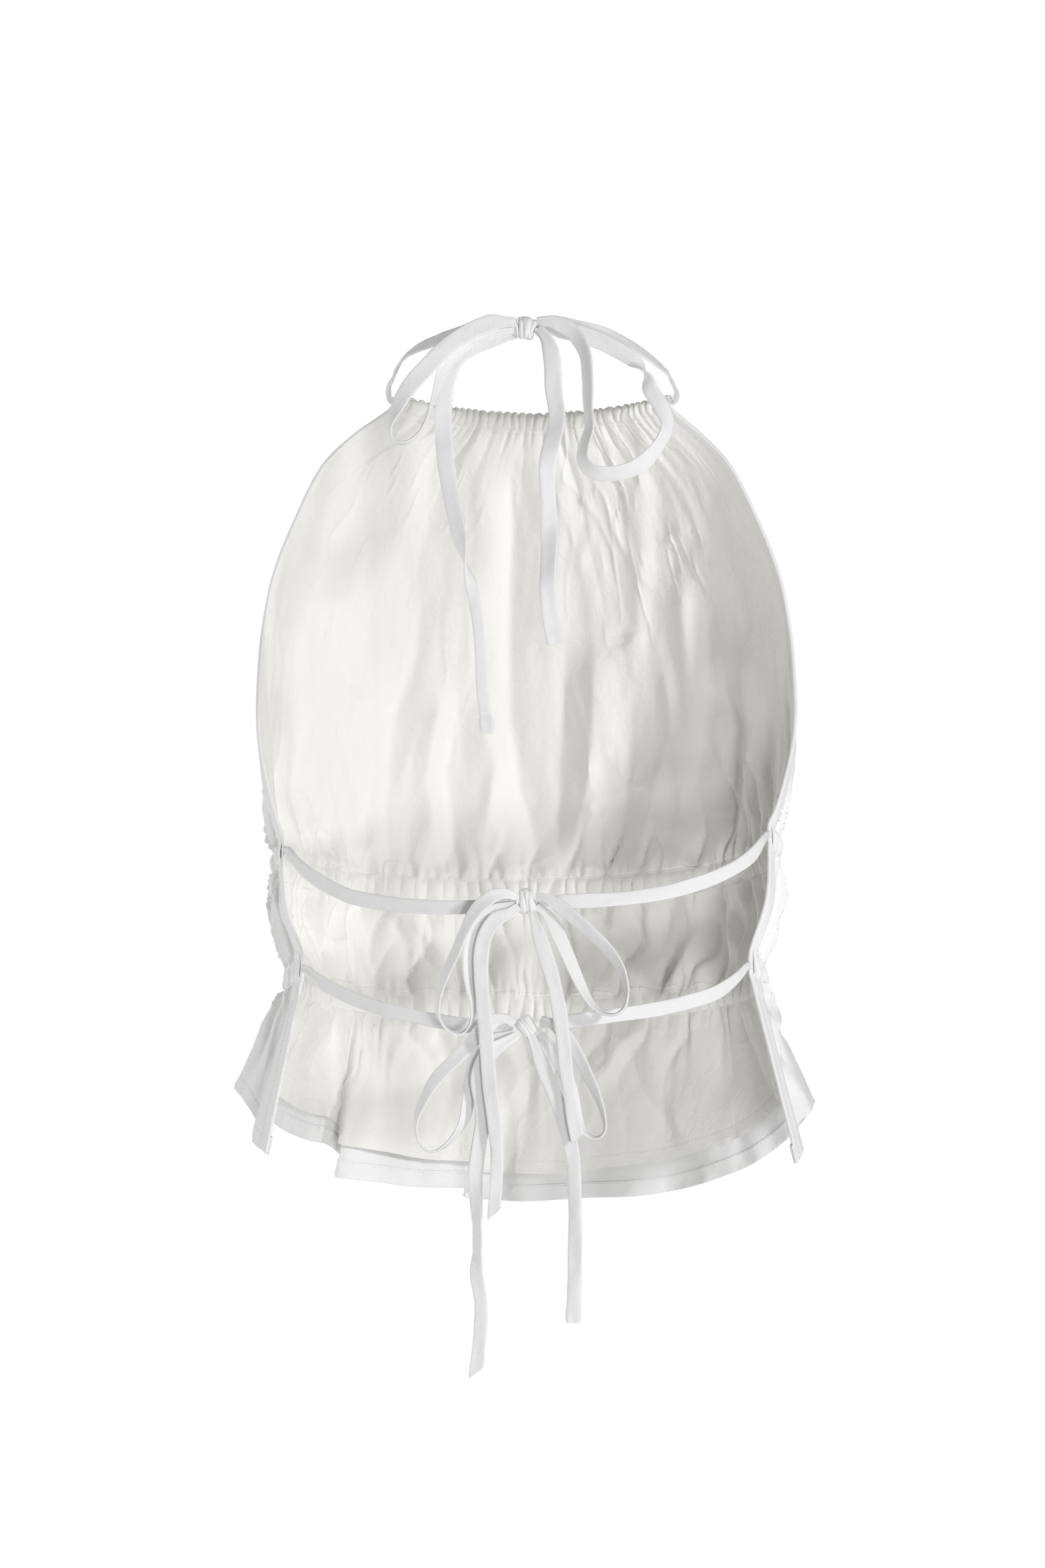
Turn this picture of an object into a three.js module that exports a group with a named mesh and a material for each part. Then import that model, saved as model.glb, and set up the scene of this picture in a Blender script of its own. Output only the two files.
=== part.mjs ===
import * as THREE from "three";

// A halter neck top as it is worn, with nobody in it. One gathered panel wraps the front and the sides,
// the back is open, and three drawstrings hold it: one at the neck and two at the waist, each tied in a bow.
// Millimetres, +Z up, +Y towards the wearer's front, +X to the wearer's right.
// The origin is at the nape, on the inner face of the neck knot.

// Figure
const TORSO_Y = 65;
const BACK_DEPTH = 85;

// Cloth layers, measured across the wall
const CLOTH = 1.4;
const LAYER_GAP = 0.8;
const CASING_BULGE = 1.3;

// Gathers in the whole width of each casing
const NECK_GATHERS = 32;
const WAIST_GATHERS = 36;
const PLAIN_COLUMNS = 36;
const FLAT_EDGE = 5;
const FULL_GATHER_FROM = 11;

// Drawstrings: flat bands of the shell's cloth
const NECK_TIE_WIDTH = 10;
const WAIST_TIE_WIDTH = 8.5;
const TIE_THICKNESS = 1.2;
const TIE_STEP = 8;
const MOUTH_PINCH = 0.36;
const KNOT_PINCH = 0.6;
const PINCH_FROM = 5;
const PINCH_TO = 16;

const SHELL_COLOUR = 0xf2f2f4;
const LINING_COLOUR = 0xf4f2ea;
const TIE_COLOUR = 0xeeeef2;

// Rows of the panel from the neck down. Each is an ellipse about the torso axis, from one side edge to the
// other: edge and front are its heights at the side edges and at the centre front, wide and deep its half
// axes, end the angle in degrees where it stops, and gather the half depth of its gathers. Where it has
// them, shift is how far it sits to the right, and tilt how much higher its right edge is than its middle.
const SECTIONS = [
  { row: "neck top", edge: -32.5, front: -42.5, wide: 115, deep: 70, end: 46.5, shift: 4, gather: 0.9 },
  { row: "neck stitch", edge: -41.5, front: -52, wide: 118, deep: 73, end: 47.4, shift: 3, gather: 1.1 },
  { row: "collarbone", edge: -57, front: -69, wide: 135, deep: 81, end: 52, shift: 1, gather: 1.5 },
  { row: "upper chest", edge: -77, front: -91, wide: 145, deep: 90, end: 59.5, gather: 0 },
  { row: "chest", edge: -109, front: -124, wide: 154, deep: 101, end: 66, gather: 0 },
  { row: "upper bust", edge: -142, front: -158, wide: 161, deep: 109, end: 72, gather: 0 },
  { row: "bust", edge: -174, front: -191, wide: 163.5, deep: 114, end: 77, gather: 0 },
  { row: "underarm", edge: -207, front: -225, wide: 162.5, deep: 116, end: 84, gather: 0 },
  { row: "ribs", edge: -239, front: -259, wide: 161, deep: 116, end: 92, tilt: 1, gather: 0 },
  { row: "blouse", edge: -268, front: -293, wide: 157, deep: 112, end: 99, tilt: 3, gather: 1.1 },
  { row: "above waist", edge: -289, front: -317, wide: 152.5, deep: 104, end: 103, tilt: 4, gather: 2.6 },
  { row: "upper stitch 1", edge: -299, front: -329, wide: 149.5, deep: 97, end: 104.5, tilt: 4.5, gather: 1.7 },
  { row: "upper stitch 2", edge: -312.5, front: -343, wide: 150, deep: 97, end: 105, tilt: 4, gather: 1.7 },
  { row: "waist band", edge: -341, front: -372, wide: 150.5, deep: 102, end: 108.5, tilt: 2, gather: 2.9 },
  { row: "lower stitch 1", edge: -370, front: -402, wide: 142, deep: 90, end: 110, tilt: 1, gather: 1.7 },
  { row: "lower stitch 2", edge: -384, front: -416, wide: 142, deep: 90, end: 110, tilt: 1, gather: 1.7 },
];

// The shell's hem seen from above, from the left side edge round the front to the right side edge.
// y is measured from the torso axis. Each side edge hangs in a flare that folds out and back.
const HEM = [
  { fold: "left edge", x: -154, y: -48, z: -487 },
  { fold: "left strip", x: -163, y: -33, z: -480 },
  { fold: "left tuck", x: -160, y: -18, z: -472 },
  { fold: "left flare back", x: -170, y: -4, z: -458 },
  { fold: "left flare out", x: -175, y: 14, z: -451 },
  { fold: "left flare front", x: -168, y: 34, z: -462 },
  { fold: "left inner wall", x: -148, y: 48, z: -480 },
  { fold: "left valley", x: -129, y: 46, z: -488 },
  { fold: "left pleat", x: -120, y: 57, z: -489 },
  { fold: "left front fold", x: -110, y: 46, z: -506 },
  { fold: "left front", x: -94, y: 68, z: -513 },
  { fold: "front rise 1", x: -68, y: 90, z: -518 },
  { fold: "front dip 1", x: -44, y: 97, z: -519 },
  { fold: "front rise 2", x: -22, y: 112, z: -526 },
  { fold: "front dip 2", x: 4, y: 106, z: -528 },
  { fold: "front rise 3", x: 34, y: 112, z: -527 },
  { fold: "front dip 3", x: 62, y: 98, z: -525 },
  { fold: "front rise 4", x: 90, y: 92, z: -521 },
  { fold: "right front", x: 116, y: 72, z: -512 },
  { fold: "right turn", x: 138, y: 62, z: -502 },
  { fold: "right flare front", x: 160, y: 44, z: -484 },
  { fold: "right flare out", x: 174, y: 18, z: -461 },
  { fold: "right flare back", x: 169, y: -4, z: -466 },
  { fold: "right tuck", x: 158, y: -18, z: -476 },
  { fold: "right strip", x: 164, y: -34, z: -484 },
  { fold: "right edge", x: 160, y: -49, z: -492 },
];

// Rows of the peplum, as parts of its height, and the half depth of the gathers in each
const PEPLUM_ROWS = [
  { part: 0.12, gather: 2.3 },
  { part: 0.32, gather: 1.2 },
  { part: 0.62, gather: 0 },
  { part: 1, gather: 0 },
];
const LINING_PART_FRONT = 0.87;
const LINING_PART_SIDE = 0.76;

// The bodice's long folds: across at the top and at the bottom (-1 and 1 are the side edges), the rows
// between which it runs, and its half width and depth in millimetres, a ridge where the depth is positive
const BODICE_FOLDS = [
  { top: -0.78, bottom: -0.8, from: 3, to: 9.5, halfWidth: 13, depth: -3.2 },
  { top: -0.5, bottom: -0.56, from: 2.5, to: 9.5, halfWidth: 12, depth: -3.6 },
  { top: -0.34, bottom: -0.38, from: 4, to: 10, halfWidth: 12, depth: 3.2 },
  { top: -0.2, bottom: -0.22, from: 2, to: 9, halfWidth: 11, depth: -3.4 },
  { top: -0.02, bottom: 0.04, from: 3, to: 10, halfWidth: 13, depth: 3.6 },
  { top: 0.16, bottom: 0.2, from: 2, to: 8, halfWidth: 11, depth: -3.6 },
  { top: 0.32, bottom: 0.36, from: 5, to: 10, halfWidth: 12, depth: 3.2 },
  { top: 0.5, bottom: 0.54, from: 2.5, to: 9.5, halfWidth: 12, depth: -3.4 },
  { top: 0.74, bottom: 0.78, from: 3, to: 9.5, halfWidth: 13, depth: -3.0 },
];

// Mesh rows of the panel: the section, or the place between two, and what its columns follow
const PANEL_ROWS = [
  { at: 0, columns: 2 * NECK_GATHERS },
  { at: 0.5, columns: 2 * NECK_GATHERS },
  { at: 1, columns: 2 * NECK_GATHERS },
  { at: 2, columns: 2 * NECK_GATHERS },
  { at: 2.6, columns: 2 * NECK_GATHERS },
  { at: 3, columns: PLAIN_COLUMNS },
  { at: 4, columns: PLAIN_COLUMNS },
  { at: 5, columns: PLAIN_COLUMNS },
  { at: 6, columns: PLAIN_COLUMNS },
  { at: 7, columns: PLAIN_COLUMNS },
  { at: 8, columns: PLAIN_COLUMNS },
  { at: 8.6, columns: PLAIN_COLUMNS },
  { at: 9, columns: 2 * WAIST_GATHERS },
  { at: 10, columns: 2 * WAIST_GATHERS },
  { at: 11, columns: 2 * WAIST_GATHERS },
  { at: 11.5, columns: 2 * WAIST_GATHERS },
  { at: 12, columns: 2 * WAIST_GATHERS },
  { at: 13, columns: 2 * WAIST_GATHERS },
  { at: 14, columns: 2 * WAIST_GATHERS },
  { at: 14.5, columns: 2 * WAIST_GATHERS },
  { at: 15, columns: 2 * WAIST_GATHERS },
];
const LAST_SECTION = SECTIONS.length - 1;
const CASING_ROWS = [0.5, 11.5, 14.5];
const CASING_REACH = 0.5;

const radians = THREE.MathUtils.degToRad;

function cubic(before, from, to, after, part) {
  const slopeFrom = (to - before) / 2;
  const slopeTo = (after - from) / 2;
  const square = part * part;
  const cube = square * part;
  return (
    (2 * cube - 3 * square + 1) * from +
    (cube - 2 * square + part) * slopeFrom +
    (3 * square - 2 * cube) * to +
    (cube - square) * slopeTo
  );
}

// A section's column at any place between two sections, on a smooth curve through its neighbours
function sectionValue(column, at) {
  const index = Math.min(Math.floor(at), LAST_SECTION - 1);
  const pick = (step) => SECTIONS[THREE.MathUtils.clamp(index + step, 0, LAST_SECTION)][column] ?? 0;
  return cubic(pick(-1), pick(0), pick(1), pick(2), at - index);
}

// A point of the smooth panel: across runs from -1 at the left side edge to 1 at the right one
function sectionPoint(across, at) {
  const angle = radians(sectionValue("end", at)) * across;
  const depth = Math.cos(angle) >= 0 ? sectionValue("deep", at) : BACK_DEPTH;
  const edgeZ = sectionValue("edge", at);
  const dip = sectionValue("front", at) - edgeZ;
  return new THREE.Vector3(
    sectionValue("shift", at) + sectionValue("wide", at) * Math.sin(angle),
    TORSO_Y + depth * Math.cos(angle),
    edgeZ + dip * Math.cos((across * Math.PI) / 2) + sectionValue("tilt", at) * across,
  );
}

const hemCurve = new THREE.CatmullRomCurve3(
  HEM.map(({ x, y, z }) => new THREE.Vector3(x, TORSO_Y + y, z)),
  false,
  "centripetal",
);
hemCurve.arcLengthDivisions = 800;

// The panel goes on below the last section as the peplum, straight lines from the casing to the hem
function smoothPoint(across, at) {
  if (at <= LAST_SECTION) return sectionPoint(across, at);
  const top = sectionPoint(across, LAST_SECTION);
  const hem = hemCurve.getPointAt(THREE.MathUtils.clamp((across + 1) / 2, 0, 1));
  return top.lerp(hem, at - LAST_SECTION);
}

// The outward direction of the smooth panel, from its two neighbours across and down
function outward(across, at) {
  const step = 0.008;
  const left = smoothPoint(Math.max(across - step, -1), at);
  const right = smoothPoint(Math.min(across + step, 1), at);
  const above = smoothPoint(across, Math.max(at - step, 0));
  const below = smoothPoint(across, Math.min(at + step, LAST_SECTION + 1));
  return right.sub(left).cross(below.sub(above)).normalize();
}

function foldDepth(across, at, width) {
  let depth = 0;
  for (const fold of BODICE_FOLDS) {
    const part = (at - fold.from) / (fold.to - fold.from);
    if (part <= 0 || part >= 1) continue;
    const centre = THREE.MathUtils.lerp(fold.top, fold.bottom, part);
    const away = ((across - centre) * width) / 2 / fold.halfWidth;
    depth += fold.depth * Math.sin(Math.PI * part) * Math.exp(-away * away);
  }
  return depth;
}

// Peaks and valleys in turn, of uneven depth, and none at the flat side edges
function gatherDepth(column, columns, halfDepth, width) {
  const fromEdge = (width * Math.min(column, columns - column)) / columns;
  const edge = THREE.MathUtils.smoothstep(fromEdge, FLAT_EDGE, FULL_GATHER_FROM);
  const uneven = 0.8 + 0.2 * Math.sin(2.3 * column + 0.8 * Math.sin(1.1 * column));
  return (column % 2 === 0 ? 1 : -1) * halfDepth * uneven * edge;
}

function rowWidth(at) {
  const section = Math.min(at, LAST_SECTION);
  const mean = Math.hypot(sectionValue("wide", section), sectionValue("deep", section)) / Math.SQRT2;
  return 2 * mean * radians(sectionValue("end", section));
}

// How far a casing pushes its two layers apart around its drawstring
function casingBulge(at) {
  const near = Math.min(...CASING_ROWS.map((row) => Math.abs(row - at)));
  return near < CASING_REACH ? CASING_BULGE : 0;
}

// The rows of one layer, each with its place, number of columns and half depth of gathers
function layerRows(isLining) {
  const rows = PANEL_ROWS.map(({ at, columns }) => ({
    place: () => at,
    columns,
    gather: columns === PLAIN_COLUMNS ? 0 : sectionValue("gather", at),
    bulge: casingBulge(at),
  }));
  const parts = isLining ? PEPLUM_ROWS.slice(0, -1) : PEPLUM_ROWS;
  for (const { part, gather } of parts) {
    rows.push({ place: () => LAST_SECTION + part, columns: 2 * WAIST_GATHERS, gather, bulge: 0 });
  }
  if (isLining) {
    const hemPart = (across) => THREE.MathUtils.lerp(LINING_PART_FRONT, LINING_PART_SIDE, Math.abs(across));
    rows.push({
      place: (across) => LAST_SECTION + hemPart(across),
      columns: 2 * WAIST_GATHERS,
      gather: 0,
      bulge: 0,
    });
  }
  return rows;
}

function rowPoints(row, fromMiddle, bulgeSide) {
  const points = [];
  for (let column = 0; column <= row.columns; column += 1) {
    const across = (2 * column) / row.columns - 1;
    const at = row.place(across);
    const width = rowWidth(at);
    const depth = foldDepth(across, at, width) + gatherDepth(column, row.columns, row.gather, width);
    const distance = depth + fromMiddle + bulgeSide * row.bulge;
    points.push(smoothPoint(across, at).addScaledVector(outward(across, at), distance));
  }
  return points;
}

// Triangles between two rows, also where one has more columns than the other
function stitchRows(upperCount, lowerCount, addTriangle) {
  let upper = 0;
  let lower = 0;
  while (upper < upperCount || lower < lowerCount) {
    const nextUpper = (upper + 1) / upperCount;
    const nextLower = (lower + 1) / lowerCount;
    const stepUpper = lower === lowerCount || (upper < upperCount && nextUpper <= nextLower);
    if (stepUpper) {
      addTriangle([0, upper], [0, upper + 1], [1, lower]);
      upper += 1;
    } else {
      addTriangle([0, upper], [1, lower + 1], [1, lower]);
      lower += 1;
    }
  }
}

function closedGeometry(positions, triangles) {
  const geometry = new THREE.BufferGeometry();
  geometry.setAttribute("position", new THREE.Float32BufferAttribute(positions, 3));
  geometry.setIndex(triangles);
  geometry.computeVertexNormals();
  return geometry;
}

// One layer of cloth as a closed wall between its outer and inner faces
function layerGeometry(isLining) {
  const side = isLining ? -1 : 1;
  const near = LAYER_GAP / 2;
  const far = near + CLOTH;
  const rows = layerRows(isLining);
  const outerDistance = isLining ? -near : far;
  const innerDistance = isLining ? -far : near;
  const positions = [];
  const triangles = [];
  const faceRows = [outerDistance, innerDistance].map((distance) =>
    rows.map((row) => {
      const first = positions.length / 3;
      for (const point of rowPoints(row, distance, side)) positions.push(point.x, point.y, point.z);
      return first;
    }),
  );
  const [outer, inner] = faceRows;
  for (let index = 0; index + 1 < rows.length; index += 1) {
    stitchRows(rows[index].columns, rows[index + 1].columns, (a, b, c) => {
      const corner = (face, [down, column]) => face[index + down] + column;
      triangles.push(corner(outer, a), corner(outer, b), corner(outer, c));
      triangles.push(corner(inner, a), corner(inner, c), corner(inner, b));
    });
    for (const atRight of [false, true]) {
      const edge = (face, down) => face[index + down] + (atRight ? rows[index + down].columns : 0);
      const quad = [edge(outer, 0), edge(inner, 0), edge(inner, 1), edge(outer, 1)];
      if (!atRight) quad.reverse();
      triangles.push(quad[0], quad[1], quad[2], quad[0], quad[2], quad[3]);
    }
  }
  for (const index of [0, rows.length - 1]) {
    for (let column = 0; column < rows[index].columns; column += 1) {
      const quad = [
        outer[index] + column,
        outer[index] + column + 1,
        inner[index] + column + 1,
        inner[index] + column,
      ];
      if (index === 0) quad.reverse();
      triangles.push(quad[0], quad[1], quad[2], quad[0], quad[2], quad[3]);
    }
  }
  return closedGeometry(positions, triangles);
}

// Drawstring stretches. A stretch runs along its points, x y z and the turn of the band about its own
// length in degrees. Its face looks along faceStart at its first point and along faceEnd at its last one.
const BACK = new THREE.Vector3(0, -1, 0);
const NECK_STRETCHES = [
  {
    name: "neck_run_left",
    ends: ["mouth", "knot"],
    faceStart: new THREE.Vector3(-0.47, 0.84, 0.27),
    faceEnd: BACK,
    points: [
      [-77.2, 115.9, -36.8, 0], [-80.5, 113.8, -36.1, 0], [-82.8, 112.2, -35.6, 0], [-84.2, 109, -33.2, 0],
      [-84, 103, -29.5, 0], [-82.5, 95, -26.5, 0], [-80, 84, -23.5, 0], [-78, 72, -20.5, 0],
      [-75.5, 60, -17, 0], [-71.5, 48, -14, 0], [-64.5, 35, -10.5, 0], [-55, 23.5, -7.5, 0],
      [-43.5, 13, -4.5, 0], [-31, 5.5, -1.5, 0], [-20, 1, 0.8, 0], [-12, -1, 1.2, 0], [-5.9, -1.4, 0.8, 0],
    ],
  },
  {
    name: "neck_run_right",
    ends: ["mouth", "knot"],
    faceStart: new THREE.Vector3(0.5, 0.85, 0.18),
    faceEnd: BACK,
    points: [
      [84.4, 116, -37, 0], [87.7, 113.9, -36.4, 0], [90.1, 112.2, -35.8, 0], [91.3, 108.5, -33, 0],
      [90.5, 101, -29.8, 0], [88.5, 92, -28, 0], [87, 80, -25.5, 0], [85, 69, -23.5, 0], [81, 57, -20.5, 0],
      [76, 46, -17.5, 0], [69.5, 36, -13.5, 0], [60.5, 25, -9, 0], [50, 17, -5.5, 0], [39, 9.5, -3, 0],
      [28, 4.5, -1, 0], [18.5, 1, 0.5, 0], [11.5, -1, 1, 0], [5.9, -1.4, 0.8, 0],
    ],
  },
  {
    name: "neck_loop_left",
    ends: ["knot", "knot"],
    points: [
      [-6.4, -6.6, 1.2, 0], [-19.6, -9.5, 0.5, 0], [-32.9, -12, -4.8, 0], [-46.1, -15, -13.7, 0],
      [-58.5, -17.5, -26.4, 0], [-69.4, -18.5, -39, 10], [-76.2, -18, -50.7, 45], [-79.8, -17, -60.8, 80],
      [-77.9, -16, -68.6, 90], [-70.9, -15, -70.1, 90], [-63.2, -13.5, -64.5, 90], [-57.8, -12, -54.3, 85],
      [-53.9, -11, -41.7, 75], [-49.2, -9.2, -27.6, 60], [-41.4, -7.6, -16.6, 35], [-30.5, -6.4, -8.5, 10],
      [-18, -5.4, -4.1, 0], [-5.9, -4.8, -2.4, 0],
    ],
  },
  {
    name: "neck_loop_right",
    ends: ["knot", "knot"],
    points: [
      [5.9, -5.4, 1.5, 0], [16.4, -7.5, 0.8, 0], [27.3, -9.5, -5.7, 15], [33.9, -12, -17.6, 45],
      [35.4, -14, -33.5, 60], [35.7, -16, -49.2, 60], [36.5, -18, -61, 55], [33.6, -19, -72, 50],
      [33, -20, -80.6, 45], [38.8, -21, -87.3, 40], [52.8, -21, -88.1, 30], [66, -20, -83.3, 30],
      [76.9, -18, -71.9, 45], [82.1, -15, -60, 40], [78.6, -13, -49, 10], [72.5, -11, -38.7, 0],
      [69.4, -9, -29.2, -80], [62.4, -7.5, -21.2, -165], [52.3, -6.5, -14.8, -180], [39, -5.2, -8.4, -180],
      [25.7, -4.4, -4.4, -180], [14, -3.8, -2.6, -180], [5.9, -3.5, -2.4, -180],
    ],
  },
  {
    name: "neck_tail_left",
    ends: ["knot", "free"],
    points: [
      [-5.8, -3.1, -5.6, 0], [-14.9, -3, -7.4, 0], [-29.7, -2.2, -12, 0], [-41, -2, -20, 0],
      [-47, -2, -33.6, 0], [-48.8, -3.8, -50, 0], [-48.5, -7.6, -63, 0], [-47.8, -12.5, -76.9, 0],
      [-45.5, -17, -93, 0], [-42.7, -21.5, -108.9, 0], [-39.5, -25, -124, 15], [-35.7, -28, -139.4, 80],
      [-32.5, -30.2, -152, 145], [-29.9, -32, -164.6, 180], [-28, -33, -178, 180],
      [-26.8, -34, -191.8, 180], [-25.6, -35, -215, 180], [-22.5, -36, -240.1, 180],
    ],
  },
  {
    name: "neck_tail_right",
    ends: ["knot", "free"],
    points: [
      [6.4, -8, -3, 0], [10, -9.8, -6.8, 0], [13.5, -12.6, -14, 0], [15.1, -14.6, -24, 0],
      [15.9, -16.5, -40, 0], [17.8, -19, -55, 15], [16.5, -20, -64, 25], [14.2, -21, -72.6, 15],
      [12, -23, -86.6, -15], [12.7, -25.5, -105, -25], [13.1, -27, -118, -10], [13.1, -28.5, -131, 15],
      [12.5, -30, -144, 20], [12.3, -31, -157, 0], [13.9, -33, -174, -10], [16.6, -34, -188.3, 0],
    ],
  },
];
const UPPER_STRETCHES = [
  {
    name: "upper_run_left",
    ends: ["mouth", "knot"],
    faceStart: new THREE.Vector3(-0.9, -0.4, 0.1),
    faceEnd: BACK,
    points: [
      [-146.2, 47.2, -310, 0], [-144.7, 43.5, -309, 0], [-143.6, 40.9, -308.6, 0], [-141.3, 35, -309.5, 0],
      [-138.5, 27, -313.5, 0], [-132, 17.5, -320, 0], [-122.6, 9, -326.5, 0], [-113, 1.5, -331.5, 0],
      [-102.8, -5, -335.5, 0], [-90.5, -11.5, -338, 0], [-77.9, -17, -339.8, 0], [-64, -21.5, -340.8, 0],
      [-49.7, -25, -341.3, 0], [-36, -27.2, -341.2, 0], [-23.3, -28.3, -340.6, 0], [-14, -28.8, -339.5, 0],
      [-5.9, -29, -338.5, 0],
    ],
  },
  {
    name: "upper_run_right",
    ends: ["mouth", "knot"],
    faceStart: new THREE.Vector3(0.9, -0.4, 0.1),
    faceEnd: BACK,
    points: [
      [146.2, 47.1, -301.4, 0], [144.7, 43.5, -300.2, 0], [143.6, 40.9, -299.7, 0], [142, 35, -300.5, 0],
      [139.5, 27, -304, 0], [134, 18, -311, 0], [125, 9, -317.5, 0], [112.5, 0.5, -323.5, 0],
      [98, -8, -328.5, 0], [82.5, -15, -332.5, 0], [65, -20.5, -335.2, 0], [47, -25, -336.8, 0],
      [32, -27.5, -337.5, 0], [19, -28.6, -337.8, 0], [5.9, -29, -337.8, 0],
    ],
  },
  {
    name: "upper_loop_left",
    ends: ["knot", "knot"],
    points: [
      [-5.9, -33.2, -334.8, 0], [-12, -35.5, -333, 0], [-19.5, -37.5, -334.5, 10],
      [-26.3, -39.5, -339.4, 25], [-32.5, -41, -347.4, 40], [-37.5, -42, -357.4, 50],
      [-42.5, -42, -369.8, 50], [-47.9, -42, -382.1, 60], [-51.4, -41, -394.5, 80], [-50.6, -40, -405, 90],
      [-44.9, -38.5, -412.4, 90], [-38, -37, -413.7, 90], [-32.6, -36, -408, 80], [-31, -35.5, -397.2, 60],
      [-33, -35, -384.8, 45], [-33.4, -34.5, -371.7, 35], [-31.4, -33.6, -359.3, 15],
      [-25.6, -32.8, -348.8, 0], [-17.9, -32, -342.6, 0], [-5.9, -31.5, -339.8, 0],
    ],
  },
  {
    name: "upper_loop_right",
    ends: ["knot", "knot"],
    points: [
      [6.2, -33.2, -335.2, 0], [12.3, -35, -336, 0], [21.6, -37, -342.1, 10], [33.9, -39, -352.9, 25],
      [46.6, -40, -365.2, 40], [54.7, -40, -376.8, 60], [58.2, -39, -389.2, 80], [57.1, -38, -398.5, 90],
      [51.7, -37, -403.2, 90], [44.8, -36, -402.5, 80], [37.8, -35, -397.1, 60], [30.9, -34, -385.5, 40],
      [23.9, -33.2, -369.3, 25], [17.7, -32.6, -355.4, 10], [12.3, -32, -345.8, 0], [5.9, -31.5, -340.3, 0],
    ],
  },
  {
    name: "upper_tail_left",
    ends: ["knot", "free"],
    points: [
      [-4.6, -34.1, -340.7, 0], [-11, -36.3, -344.8, 0], [-17.9, -37.3, -348.2, 0], [-23, -37.8, -355, 0],
      [-26, -38.2, -366, 0], [-26.3, -38.5, -383, 0], [-24.8, -39, -401.6, 0], [-23.6, -39.5, -414.7, 0],
      [-22.5, -40, -429.3, 0], [-21.3, -40, -445.5, 10], [-19, -40, -464, 0], [-17.1, -40, -483.3, 0],
      [-17.8, -40, -502.6, -10], [-19, -40, -518.9, 0],
    ],
  },
  {
    name: "upper_tail_right",
    ends: ["knot", "free"],
    points: [
      [2.6, -33.5, -343.2, 0], [5.5, -35.5, -352, 0], [10, -37.5, -366, 0], [14.6, -38.5, -380.7, 0],
      [18.5, -39.2, -398.5, 0], [21.2, -39.8, -417.8, 0], [22.7, -40, -433.2, 0], [25, -40, -449.4, 0],
      [27.3, -40, -464.9, 0], [29.3, -40, -474.9, 0],
    ],
  },
];
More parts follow.
